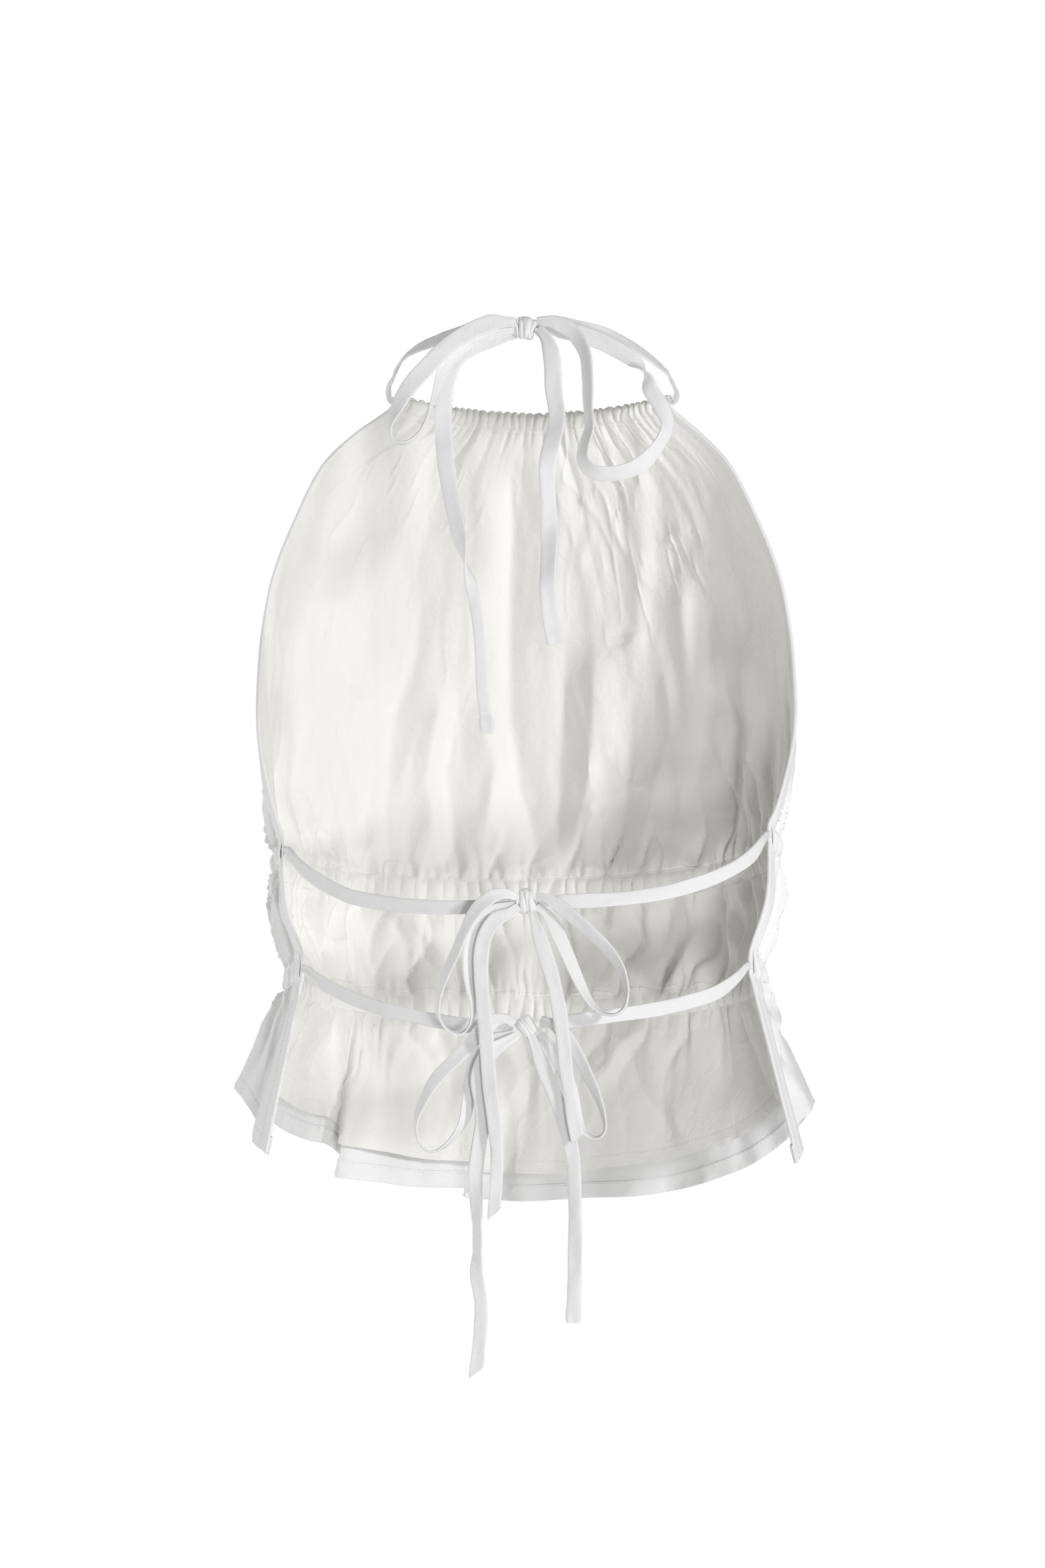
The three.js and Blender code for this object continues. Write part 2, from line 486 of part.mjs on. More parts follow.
const LOWER_STRETCHES = [
  {
    name: "lower_run_left",
    ends: ["mouth", "knot"],
    faceStart: new THREE.Vector3(-0.9, -0.5, 0.1),
    faceEnd: BACK,
    points: [
      [-134.8, 39.2, -380.8, 0], [-132.9, 35.8, -379.8, 0], [-131.4, 33.3, -379.3, 0], [-129, 29, -380, 0],
      [-126, 24, -383, 0], [-119, 17, -388, 0], [-109, 8.5, -393, 0], [-97, 0.5, -397.5, 0],
      [-83, -7, -401.5, 0], [-67, -14, -405, 0], [-50, -20, -408, 0], [-35, -23.5, -410, 0],
      [-22, -25.2, -411, 0], [-7.8, -26, -411.8, 0],
    ],
  },
  {
    name: "lower_run_right",
    ends: ["mouth", "knot"],
    faceStart: new THREE.Vector3(0.9, -0.5, 0.1),
    faceEnd: BACK,
    points: [
      [134.8, 39.2, -379, 0], [132.9, 35.8, -377.9, 0], [131.4, 33.3, -377.3, 0], [129.5, 29, -378.5, 0],
      [126.5, 24, -381.8, 0], [120, 16, -387.5, 0], [111.4, 8, -392.5, 0], [98, -1, -396.5, 0],
      [82.7, -8.5, -400, 0], [68, -14.5, -402.3, 0], [54, -19.3, -404, 0], [39, -22.8, -405.8, 0],
      [25.5, -25, -407.4, 0], [16, -25.8, -408.3, 0], [7.8, -26, -409, 0],
    ],
  },
  {
    name: "lower_loop_left",
    ends: ["knot", "knot"],
    points: [
      [-7.1, -30.3, -409, 0], [-12, -31, -406, 0], [-18, -31.5, -406.6, 0], [-26.4, -32, -412.7, 10],
      [-33.4, -32.4, -421.2, 20], [-42.6, -33, -430.5, 20], [-52.7, -33.2, -440.5, 30],
      [-60.1, -33.2, -452.9, 50], [-64.3, -33.2, -466.1, 75], [-62.8, -33.2, -476.9, 90],
      [-57.3, -33, -482.7, 90], [-50.4, -32.6, -481.5, 90], [-42.7, -31.6, -474.6, 75],
      [-36.5, -30.8, -464.6, 50], [-33.8, -30.2, -452.3, 30], [-32, -29.6, -438.4, 15],
      [-28.5, -29.2, -427, 0], [-20.5, -28.8, -419.4, 0], [-7.4, -28.6, -414.6, 0],
    ],
  },
  {
    name: "lower_loop_right",
    ends: ["knot", "knot"],
    points: [
      [8.1, -30.6, -406.1, 0], [17, -31.2, -410.2, 0], [25.9, -32, -420.8, 10], [33.2, -33, -433.6, 30],
      [39.8, -33, -448.3, 50], [44.4, -33, -461.4, 75], [45.2, -32.5, -470.8, 90], [41, -31.8, -474.7, 90],
      [34.8, -31, -472.5, 80], [30.5, -30.2, -464.8, 60], [27.1, -29.6, -452.4, 40], [23.2, -29, -440, 20],
      [18.5, -28.7, -430, 10], [13.1, -28.6, -421.4, 0], [7.4, -28.6, -414.8, 0],
    ],
  },
  {
    name: "lower_tail_left",
    ends: ["knot", "free"],
    points: [
      [-5.1, -31.5, -415, 0], [-13, -33.8, -419.5, 0], [-20, -35, -424.5, 0], [-25.5, -35.3, -431, 0],
      [-28.5, -35.3, -440.5, 0], [-26.6, -35.2, -452.9, 0], [-25.6, -35, -464.5, 0],
      [-27.9, -34.8, -480, 0], [-29.9, -34.5, -499.3, 0], [-29.2, -34.4, -513, 25],
      [-28.7, -34.3, -526.3, 50], [-28.7, -34.2, -541.8, 50], [-29.1, -34, -553.4, 15],
      [-26.8, -34, -568.9, 0], [-26.8, -34, -584.4, 0], [-28.3, -34, -601.4, 0], [-29.5, -34, -611.4, 0],
    ],
  },
  {
    name: "lower_tail_right",
    ends: ["knot", "free"],
    points: [
      [2.6, -30.4, -415.6, 0], [6.9, -33, -427, 0], [11.5, -34.2, -438.6, 0], [16.6, -34.8, -451, 0],
      [20.8, -34.8, -463, 0], [24.7, -34.8, -474.6, 0], [27, -34.6, -487.7, 10], [27.8, -34.4, -510.9, 20],
      [28.2, -34.2, -536.1, 10], [27.8, -34, -557.4, 0], [27, -34, -582.1, 0],
    ],
  },
];
const DRAWSTRINGS = [
  { stretches: NECK_STRETCHES, width: NECK_TIE_WIDTH },
  { stretches: UPPER_STRETCHES, width: WAIST_TIE_WIDTH },
  { stretches: LOWER_STRETCHES, width: WAIST_TIE_WIDTH },
];

// Knots: rounded lumps, with their centre, half sizes and tilt in degrees seen from the back
const KNOTS = [
  { name: "neck_knot", centre: [0, -4, -2.4], half: [5.5, 4, 6.2], tilt: 0 },
  { name: "upper_knot", centre: [0, -31, -337.3], half: [5.5, 4, 5.5], tilt: 0 },
  { name: "lower_knot", centre: [0, -28, -410.5], half: [7.3, 4, 5], tilt: -22 },
];
const KNOT_SQUARENESS = 0.62;
const KNOT_AROUND = 12;
const KNOT_RINGS = 8;

// The band's width as a part of its full width, at a distance from its two ends
function pinch(ends, fromStart, toEnd) {
  const narrow = { mouth: MOUTH_PINCH, knot: KNOT_PINCH, free: 1 };
  const open = (end, distance) =>
    THREE.MathUtils.lerp(narrow[end], 1, THREE.MathUtils.smoothstep(distance, PINCH_FROM, PINCH_TO));
  return Math.min(open(ends[0], fromStart), open(ends[1], toEnd));
}

// A flat band along its route, as four-sided rings closed at both ends
function bandGeometry({ ends, faceStart = BACK, faceEnd = BACK, points }, width) {
  const route = new THREE.CatmullRomCurve3(
    points.map(([x, y, z]) => new THREE.Vector3(x, y, z)),
    false,
    "centripetal",
  );
  const length = route.getLength();
  const steps = Math.ceil(length / TIE_STEP);
  const positions = [];
  for (let step = 0; step <= steps; step += 1) {
    const part = step / steps;
    const along = route.getUtoTmapping(part) * (points.length - 1);
    const index = Math.min(Math.floor(along), points.length - 2);
    const turn = THREE.MathUtils.lerp(points[index][3], points[index + 1][3], along - index);
    const centre = route.getPointAt(part);
    const tangent = route.getTangentAt(part);
    const face = faceStart.clone().lerp(faceEnd, part);
    const across = tangent.clone().cross(face).normalize().applyAxisAngle(tangent, radians(turn));
    const through = across.clone().cross(tangent);
    across.multiplyScalar((width / 2) * pinch(ends, part * length, (1 - part) * length));
    through.multiplyScalar(TIE_THICKNESS / 2);
    for (const [sideways, outwards] of [[1, 1], [-1, 1], [-1, -1], [1, -1]]) {
      const corner = centre.clone().addScaledVector(across, sideways).addScaledVector(through, outwards);
      positions.push(corner.x, corner.y, corner.z);
    }
  }
  const triangles = [0, 1, 2, 0, 2, 3];
  for (let step = 0; step < steps; step += 1) {
    for (let side = 0; side < 4; side += 1) {
      const [a, b] = [4 * step + side, 4 * step + ((side + 1) % 4)];
      if (side === 2) triangles.push(a, a + 4, b, b, a + 4, b + 4);
      else triangles.push(a, b + 4, b, a, a + 4, b + 4);
    }
  }
  const last = 4 * steps;
  triangles.push(last, last + 2, last + 1, last, last + 3, last + 2);
  return closedGeometry(positions, triangles);
}

// A lump between a ball and a block
function knotGeometry({ centre, half, tilt }) {
  const geometry = new THREE.SphereGeometry(1, KNOT_AROUND, KNOT_RINGS);
  const places = geometry.getAttribute("position");
  const point = new THREE.Vector3();
  for (let index = 0; index < places.count; index += 1) {
    point.fromBufferAttribute(places, index);
    const reach = point.toArray().map((value) => Math.abs(value) ** (2 / KNOT_SQUARENESS));
    point.multiplyScalar((reach[0] + reach[1] + reach[2]) ** (-KNOT_SQUARENESS / 2));
    places.setXYZ(index, point.x * half[0], point.y * half[1], point.z * half[2]);
  }
  geometry.rotateY(radians(tilt));
  geometry.translate(...centre);
  return geometry;
}

function addMesh(name, geometry, colour) {
  const material = new THREE.MeshStandardMaterial({ color: colour, roughness: 0.9, metalness: 0 });
  const mesh = new THREE.Mesh(geometry, material);
  mesh.name = name;
  top.add(mesh);
}

const top = new THREE.Group();
addMesh("front_shell", layerGeometry(false), SHELL_COLOUR);
addMesh("front_lining", layerGeometry(true), LINING_COLOUR);
for (const { stretches, width } of DRAWSTRINGS) {
  for (const stretch of stretches) addMesh(stretch.name, bandGeometry(stretch, width), TIE_COLOUR);
}
for (const knot of KNOTS) addMesh(knot.name, knotGeometry(knot), TIE_COLOUR);

export default top;
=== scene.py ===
import math

import bpy
import numpy as np
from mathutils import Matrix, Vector


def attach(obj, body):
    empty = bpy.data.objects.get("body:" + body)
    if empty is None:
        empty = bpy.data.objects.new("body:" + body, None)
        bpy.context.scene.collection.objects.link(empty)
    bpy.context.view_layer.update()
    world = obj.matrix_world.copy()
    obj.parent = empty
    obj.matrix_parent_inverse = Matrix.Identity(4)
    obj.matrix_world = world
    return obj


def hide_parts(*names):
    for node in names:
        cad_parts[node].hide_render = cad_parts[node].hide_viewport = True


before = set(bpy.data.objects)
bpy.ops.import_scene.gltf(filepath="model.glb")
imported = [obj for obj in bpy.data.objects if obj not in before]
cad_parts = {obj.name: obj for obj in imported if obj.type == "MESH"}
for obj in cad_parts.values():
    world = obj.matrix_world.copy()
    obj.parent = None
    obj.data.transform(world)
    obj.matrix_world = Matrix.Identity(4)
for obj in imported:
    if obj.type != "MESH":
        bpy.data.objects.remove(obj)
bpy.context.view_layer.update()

BODY = "root"

# Sizes are in metres from here on, in the part's frame: +Z up, +Y towards the wearer's front, +X to the
# wearer's right, and the origin at the nape. MM turns the millimetres of the cloth's tables into metres.
MM = 0.001

# Camera, behind the top and level with its middle
CAMERA_PLACE = (-0.0024, -2.935, -0.2695)
PICTURE_HEIGHT_AT_AXIS = 0.9408
AXIS_DISTANCE = 3.0
SENSOR = 36.0

# Cloth
SHELL_CLOTH = 0.5 * MM
LINING_CLOTH = 0.4 * MM
SHELL_OUTSIDE = 1.0 * MM
LINING_INSIDE = -0.8 * MM
# How many times wider than the gathered panel its cloth is
LET_OUT = 1.45
# Each half of the panel: the flat length and area of its shell and of its lining
PANEL_HALVES = [
    ("upper", 0.335, 0.155, 0.335, 0.155),
    ("lower", 0.2, 0.122, 0.17, 0.104),
]

# Drawstrings
NECK_TIE_WIDTH = 0.01
WAIST_TIE_WIDTH = 0.0085
TIE_THICKNESS = 0.0017
TIE_RING_STEP = 0.0014

# The drawstrings' routes: x y z and the turn of the band about its own length in degrees
ROUTES = {
    "neck_run_left": [
        (-0.0735, 0.1184, -0.0374, 0), (-0.0772, 0.1159, -0.0368, 0), (-0.0805, 0.1138, -0.0361, 0),
        (-0.0828, 0.1122, -0.0356, 10), (-0.0842, 0.109, -0.0332, 40), (-0.084, 0.103, -0.0295, 44),
        (-0.0825, 0.095, -0.0265, 32), (-0.08, 0.084, -0.0235, 24), (-0.078, 0.072, -0.0205, 18),
        (-0.0755, 0.06, -0.017, 4), (-0.0715, 0.048, -0.014, -12), (-0.0645, 0.035, -0.0105, -26),
        (-0.055, 0.0235, -0.0075, -34), (-0.0435, 0.013, -0.0045, -34), (-0.031, 0.0055, -0.0015, -24),
        (-0.02, 0.001, 0.0008, -14),
        (-0.012, -0.001, 0.0012, 0), (-0.0059, -0.0014, 0.0008, 0),
    ],
    "neck_run_right": [
        (0.0806, 0.1185, -0.0377, 0), (0.0844, 0.116, -0.037, 0), (0.0877, 0.1139, -0.0364, 0),
        (0.0901, 0.1122, -0.0358, -8), (0.0913, 0.1085, -0.033, -18), (0.0905, 0.101, -0.0298, -18),
        (0.0885, 0.092, -0.028, -10), (0.087, 0.08, -0.0255, -6), (0.085, 0.069, -0.0235, 4),
        (0.081, 0.057, -0.0205, 8), (0.076, 0.046, -0.0175, 12), (0.0695, 0.036, -0.0135, 17),
        (0.0605, 0.025, -0.009, 22), (0.05, 0.017, -0.0055, 22), (0.039, 0.0095, -0.003, 16),
        (0.028, 0.0045, -0.001, 8),
        (0.0185, 0.001, 0.0005, 0), (0.0115, -0.001, 0.001, 0), (0.0059, -0.0014, 0.0008, 0),
    ],
    "neck_loop_left": [
        (-0.0064, -0.0066, 0.0012, 0), (-0.0196, -0.0095, 0.0005, 0), (-0.0329, -0.012, -0.0048, 0),
        (-0.0461, -0.015, -0.0137, 0), (-0.0585, -0.0175, -0.0264, 0), (-0.0694, -0.0185, -0.039, 10),
        (-0.0762, -0.018, -0.0507, 45), (-0.0798, -0.017, -0.0608, 80), (-0.0779, -0.016, -0.0686, 90),
        (-0.0709, -0.015, -0.0701, 90), (-0.0632, -0.0135, -0.0645, 90), (-0.0578, -0.012, -0.0543, 85),
        (-0.0539, -0.011, -0.0417, 75), (-0.0492, -0.0092, -0.0276, 60), (-0.0414, -0.0076, -0.0166, 35),
        (-0.0305, -0.0064, -0.0085, 10), (-0.018, -0.0054, -0.0041, 0), (-0.0059, -0.0048, -0.0024, 0),
    ],
    "neck_loop_right": [
        (0.0059, -0.0054, 0.0015, 0), (0.0164, -0.0075, 0.0008, 0), (0.0273, -0.0095, -0.0057, 15),
        (0.0339, -0.012, -0.0176, 45), (0.0354, -0.014, -0.0335, 60), (0.0357, -0.016, -0.0492, 60),
        (0.0365, -0.018, -0.061, 55), (0.0336, -0.019, -0.072, 50), (0.033, -0.02, -0.0806, 45),
        (0.0388, -0.021, -0.0873, 40), (0.0528, -0.021, -0.0881, 30), (0.066, -0.02, -0.0833, 30),
        (0.0769, -0.018, -0.0719, 45), (0.0821, -0.015, -0.06, 40), (0.0786, -0.013, -0.049, 10),
        (0.0725, -0.011, -0.0387, 0), (0.0694, -0.009, -0.0292, -80), (0.0624, -0.0075, -0.0212, -165),
        (0.0523, -0.0065, -0.0148, -180), (0.039, -0.0052, -0.0084, -180),
        (0.0257, -0.0044, -0.0044, -180), (0.014, -0.0038, -0.0026, -180),
        (0.0059, -0.0035, -0.0024, -180),
    ],
    "neck_tail_left": [
        (-0.0058, -0.0031, -0.0056, 0), (-0.0149, -0.003, -0.0074, 0), (-0.0297, -0.0022, -0.012, 0),
        (-0.041, -0.002, -0.02, 0), (-0.047, -0.002, -0.0336, 0), (-0.0488, -0.0038, -0.05, 0),
        (-0.0485, -0.0076, -0.063, 0), (-0.0478, -0.0125, -0.0769, 0), (-0.0455, -0.017, -0.093, 0),
        (-0.0427, -0.0215, -0.1089, 0), (-0.0395, -0.025, -0.124, 15), (-0.0357, -0.028, -0.1394, 80),
        (-0.0325, -0.0302, -0.152, 145), (-0.0299, -0.032, -0.1646, 180), (-0.028, -0.033, -0.178, 180),
        (-0.0268, -0.034, -0.1918, 180), (-0.0256, -0.035, -0.215, 180), (-0.0225, -0.036, -0.2401, 180),
    ],
    "neck_tail_right": [
        (0.0064, -0.008, -0.003, 0), (0.01, -0.0098, -0.0068, 0), (0.0135, -0.0126, -0.014, 0),
        (0.0151, -0.0146, -0.024, 0), (0.0159, -0.0165, -0.04, 0), (0.0178, -0.019, -0.055, 15),
        (0.0165, -0.02, -0.064, 25), (0.0142, -0.021, -0.0726, 15), (0.012, -0.023, -0.0866, -15),
        (0.0127, -0.0255, -0.105, -25), (0.0131, -0.027, -0.118, -10), (0.0131, -0.0285, -0.131, 15),
        (0.0125, -0.03, -0.144, 20), (0.0123, -0.031, -0.157, 0), (0.0139, -0.033, -0.174, -10),
        (0.0166, -0.034, -0.1883, 0),
    ],
    "upper_run_left": [
        (-0.1486, 0.055, -0.3118, 0), (-0.1475, 0.0505, -0.311, 0), (-0.1462, 0.0472, -0.31, 0),
        (-0.1447, 0.0435, -0.309, 0), (-0.1436, 0.0409, -0.3086, 0),
        (-0.1413, 0.035, -0.3095, 0), (-0.1385, 0.027, -0.3135, 0), (-0.132, 0.0175, -0.32, 0),
        (-0.1226, 0.009, -0.3265, 0), (-0.113, 0.0015, -0.3315, 0), (-0.1028, -0.005, -0.3355, 0),
        (-0.0905, -0.0115, -0.338, 0), (-0.0779, -0.017, -0.3398, 0), (-0.064, -0.0215, -0.3408, 0),
        (-0.0497, -0.025, -0.3413, 0), (-0.036, -0.0272, -0.3412, 0), (-0.0233, -0.0283, -0.3406, 0),
        (-0.014, -0.0288, -0.3395, 0), (-0.0059, -0.029, -0.3385, 0),
    ],
    "upper_run_right": [
        (0.1486, 0.055, -0.3034, 0), (0.1475, 0.0505, -0.3024, 0), (0.1462, 0.0471, -0.3014, 0),
        (0.1447, 0.0435, -0.3002, 0), (0.1436, 0.0409, -0.2997, 0),
        (0.142, 0.035, -0.3005, 0), (0.1395, 0.027, -0.304, 0), (0.134, 0.018, -0.311, 0),
        (0.125, 0.009, -0.3175, 0), (0.1125, 0.0005, -0.3235, 0), (0.098, -0.008, -0.3285, 0),
        (0.0825, -0.015, -0.3325, 0), (0.065, -0.0205, -0.3352, 0), (0.047, -0.025, -0.3368, 0),
        (0.032, -0.0275, -0.3375, 0), (0.019, -0.0286, -0.3378, 0), (0.0059, -0.029, -0.3378, 0),
    ],
    "upper_loop_left": [
        (-0.0059, -0.0332, -0.3348, 0), (-0.012, -0.0355, -0.333, 0), (-0.0195, -0.0375, -0.3345, 10),
        (-0.0263, -0.0395, -0.3394, 25), (-0.0325, -0.041, -0.3474, 40), (-0.0375, -0.042, -0.3574, 50),
        (-0.0425, -0.042, -0.3698, 50), (-0.0479, -0.042, -0.3821, 60), (-0.0514, -0.041, -0.3945, 80),
        (-0.0506, -0.04, -0.405, 90), (-0.0449, -0.0385, -0.4124, 90), (-0.038, -0.037, -0.4137, 90),
        (-0.0326, -0.036, -0.408, 80), (-0.031, -0.0355, -0.3972, 60), (-0.033, -0.035, -0.3848, 45),
        (-0.0334, -0.0345, -0.3717, 35), (-0.0314, -0.0336, -0.3593, 15), (-0.0256, -0.0328, -0.3488, 0),
        (-0.0179, -0.032, -0.3426, 0), (-0.0059, -0.0315, -0.3398, 0),
    ],
    "upper_loop_right": [
        (0.0062, -0.0332, -0.3352, 0), (0.0123, -0.035, -0.336, 0), (0.0216, -0.037, -0.3421, 10),
        (0.0339, -0.039, -0.3529, 25), (0.0466, -0.04, -0.3652, 40), (0.0547, -0.04, -0.3768, 60),
        (0.0582, -0.039, -0.3892, 80), (0.0571, -0.038, -0.3985, 90), (0.0517, -0.037, -0.4032, 90),
        (0.0448, -0.036, -0.4025, 80), (0.0378, -0.035, -0.3971, 60), (0.0309, -0.034, -0.3855, 40),
        (0.0239, -0.0332, -0.3693, 25), (0.0177, -0.0326, -0.3554, 10), (0.0123, -0.032, -0.3458, 0),
        (0.0059, -0.0315, -0.3403, 0),
    ],
    "upper_tail_left": [
        (-0.0046, -0.0341, -0.3407, 0), (-0.011, -0.0363, -0.3448, 0), (-0.0179, -0.0373, -0.3482, 0),
        (-0.023, -0.0378, -0.355, 0), (-0.026, -0.0382, -0.366, 0), (-0.0263, -0.0385, -0.383, 0),
        (-0.0248, -0.039, -0.4016, 0), (-0.0236, -0.0395, -0.4147, 0), (-0.0225, -0.04, -0.4293, 0),
        (-0.0213, -0.04, -0.4455, 10), (-0.019, -0.04, -0.464, 0), (-0.0171, -0.04, -0.4833, 0),
        (-0.0178, -0.04, -0.5026, -10), (-0.019, -0.04, -0.5189, 0),
    ],
    "upper_tail_right": [
        (0.0026, -0.0335, -0.3432, 0), (0.0055, -0.0355, -0.352, 0), (0.01, -0.0375, -0.366, 0),
        (0.0146, -0.0385, -0.3807, 0), (0.0185, -0.0392, -0.3985, 0), (0.0212, -0.0398, -0.4178, 0),
        (0.0227, -0.04, -0.4332, 0), (0.025, -0.04, -0.4494, 0), (0.0273, -0.04, -0.4649, 0),
        (0.0293, -0.04, -0.4749, 0),
    ],
    "lower_run_left": [
        (-0.1385, 0.0478, -0.383, 0), (-0.1367, 0.0428, -0.3818, 0), (-0.1348, 0.0392, -0.3808, 0),
        (-0.1329, 0.0358, -0.3798, 0), (-0.1314, 0.0333, -0.3793, 0),
        (-0.129, 0.029, -0.38, 0), (-0.126, 0.024, -0.383, 0), (-0.119, 0.017, -0.388, 0),
        (-0.109, 0.0085, -0.393, 0), (-0.097, 0.0005, -0.3975, 0), (-0.083, -0.007, -0.4015, 0),
        (-0.067, -0.014, -0.405, 0), (-0.05, -0.02, -0.408, 0), (-0.035, -0.0235, -0.41, 0),
        (-0.022, -0.0252, -0.411, 0), (-0.0078, -0.026, -0.4118, 0),
    ],
    "lower_run_right": [
        (0.1385, 0.0478, -0.3812, 0), (0.1367, 0.0428, -0.38, 0), (0.1348, 0.0392, -0.379, 0),
        (0.1329, 0.0358, -0.3779, 0), (0.1314, 0.0333, -0.3773, 0),
        (0.1295, 0.029, -0.3785, 0), (0.1265, 0.024, -0.3818, 0), (0.12, 0.016, -0.3875, 0),
        (0.1114, 0.008, -0.3925, 0), (0.098, -0.001, -0.3965, 0), (0.0827, -0.0085, -0.4, 0),
        (0.068, -0.0145, -0.4023, 0), (0.054, -0.0193, -0.404, 0), (0.039, -0.0228, -0.4058, 0),
        (0.0255, -0.025, -0.4074, 0), (0.016, -0.0258, -0.4083, 0), (0.0078, -0.026, -0.409, 0),
    ],
    "lower_loop_left": [
        (-0.0071, -0.0303, -0.409, 0), (-0.012, -0.031, -0.406, 0), (-0.018, -0.0315, -0.4066, 0),
        (-0.0264, -0.032, -0.4127, 10), (-0.0334, -0.0324, -0.4212, 20), (-0.0426, -0.033, -0.4305, 20),
        (-0.0527, -0.0332, -0.4405, 30), (-0.0601, -0.0332, -0.4529, 50), (-0.0643, -0.0332, -0.4661, 75),
        (-0.0628, -0.0332, -0.4769, 90), (-0.0573, -0.033, -0.4827, 90), (-0.0504, -0.0326, -0.4815, 90),
        (-0.0427, -0.0316, -0.4746, 75), (-0.0365, -0.0308, -0.4646, 50), (-0.0338, -0.0302, -0.4523, 30),
        (-0.032, -0.0296, -0.4384, 15), (-0.0285, -0.0292, -0.427, 0), (-0.0205, -0.0288, -0.4194, 0),
        (-0.0074, -0.0286, -0.4146, 0),
    ],
    "lower_loop_right": [
        (0.0081, -0.0306, -0.4061, 0), (0.017, -0.0312, -0.4102, 0), (0.0259, -0.032, -0.4208, 10),
        (0.0332, -0.033, -0.4336, 30), (0.0398, -0.033, -0.4483, 50), (0.0444, -0.033, -0.4614, 75),
        (0.0452, -0.0325, -0.4708, 90), (0.041, -0.0318, -0.4747, 90), (0.0348, -0.031, -0.4725, 80),
        (0.0305, -0.0302, -0.4648, 60), (0.0271, -0.0296, -0.4524, 40), (0.0232, -0.029, -0.44, 20),
        (0.0185, -0.0287, -0.43, 10), (0.0131, -0.0286, -0.4214, 0), (0.0074, -0.0286, -0.4148, 0),
    ],
    "lower_tail_left": [
        (-0.0051, -0.0315, -0.415, 0), (-0.013, -0.0338, -0.4195, 0), (-0.02, -0.035, -0.4245, 0),
        (-0.0255, -0.0353, -0.431, 0), (-0.0285, -0.0353, -0.4405, 0), (-0.0266, -0.0352, -0.4529, 0),
        (-0.0256, -0.035, -0.4645, 0), (-0.0279, -0.0348, -0.48, 0), (-0.0299, -0.0345, -0.4993, 0),
        (-0.0292, -0.0344, -0.513, 25), (-0.0287, -0.0343, -0.5263, 50), (-0.0287, -0.0342, -0.5418, 50),
        (-0.0291, -0.034, -0.5534, 15), (-0.0268, -0.034, -0.5689, 0), (-0.0268, -0.034, -0.5844, 0),
        (-0.0283, -0.034, -0.6014, 0), (-0.0295, -0.034, -0.6114, 0),
    ],
    "lower_tail_right": [
        (0.0026, -0.0304, -0.4156, 0), (0.0069, -0.033, -0.427, 0), (0.0115, -0.0342, -0.4386, 0),
        (0.0166, -0.0348, -0.451, 0), (0.0208, -0.0348, -0.463, 0), (0.0247, -0.0348, -0.4746, 0),
        (0.027, -0.0346, -0.4877, 10), (0.0278, -0.0344, -0.5109, 20), (0.0282, -0.0342, -0.5361, 10),
        (0.0278, -0.034, -0.5574, 0), (0.027, -0.034, -0.5821, 0),
    ],
}

BACK = (0, -1, 0)
# How each stretch lies: the width of its drawstring, what is at its two ends, and the way its face looks at
# its start
STRETCH_COLUMNS = ("name", "width", "start", "end", "face")
STRETCH_ROWS = [
    ("neck_run_left", NECK_TIE_WIDTH, "mouth", "knot", (-0.47, 0.84, 0.27)),
    ("neck_run_right", NECK_TIE_WIDTH, "mouth", "knot", (0.5, 0.85, 0.18)),
    ("neck_loop_left", NECK_TIE_WIDTH, "knot", "knot", BACK),
    ("neck_loop_right", NECK_TIE_WIDTH, "knot", "knot", BACK),
    ("neck_tail_left", NECK_TIE_WIDTH, "knot", "nub", BACK),
    ("neck_tail_right", NECK_TIE_WIDTH, "knot", "square", BACK),
    ("upper_run_left", WAIST_TIE_WIDTH, "mouth", "knot", (-0.9, -0.4, 0.1)),
    ("upper_run_right", WAIST_TIE_WIDTH, "mouth", "knot", (0.9, -0.4, 0.1)),
    ("upper_loop_left", WAIST_TIE_WIDTH, "knot", "knot", BACK),
    ("upper_loop_right", WAIST_TIE_WIDTH, "knot", "knot", BACK),
    ("upper_tail_left", WAIST_TIE_WIDTH, "knot", "slanted", BACK),
    ("upper_tail_right", WAIST_TIE_WIDTH, "knot", "frayed", BACK),
    ("lower_run_left", WAIST_TIE_WIDTH, "mouth", "knot", (-0.9, -0.5, 0.1)),
    ("lower_run_right", WAIST_TIE_WIDTH, "mouth", "knot", (0.9, -0.5, 0.1)),
    ("lower_loop_left", WAIST_TIE_WIDTH, "knot", "knot", BACK),
    ("lower_loop_right", WAIST_TIE_WIDTH, "knot", "knot", BACK),
    ("lower_tail_left", WAIST_TIE_WIDTH, "knot", "slanted", BACK),
    ("lower_tail_right", WAIST_TIE_WIDTH, "knot", "square", BACK),
]
STRETCHES = [dict(zip(STRETCH_COLUMNS, row)) for row in STRETCH_ROWS]

# Knots: centre and half sizes, how much wider the wrap is at its top than at its bottom, and its tilt in
# degrees seen from the back
KNOT_COLUMNS = ("name", "centre", "half", "taper", "tilt")
KNOT_ROWS = [
    ("neck_knot", (0, -0.004, -0.0024), (0.0054, 0.0042, 0.0063), 0.1, 8),
    ("upper_knot", (0, -0.031, -0.3373), (0.0048, 0.0043, 0.0072), -0.12, -6),
    ("lower_knot", (0, -0.028, -0.4105), (0.005, 0.0043, 0.0064), 0.08, -38),
]
KNOTS = [dict(zip(KNOT_COLUMNS, row)) for row in KNOT_ROWS]

# The panel's form, in millimetres as in the solids
TORSO_Y = 65
BACK_DEPTH = 85

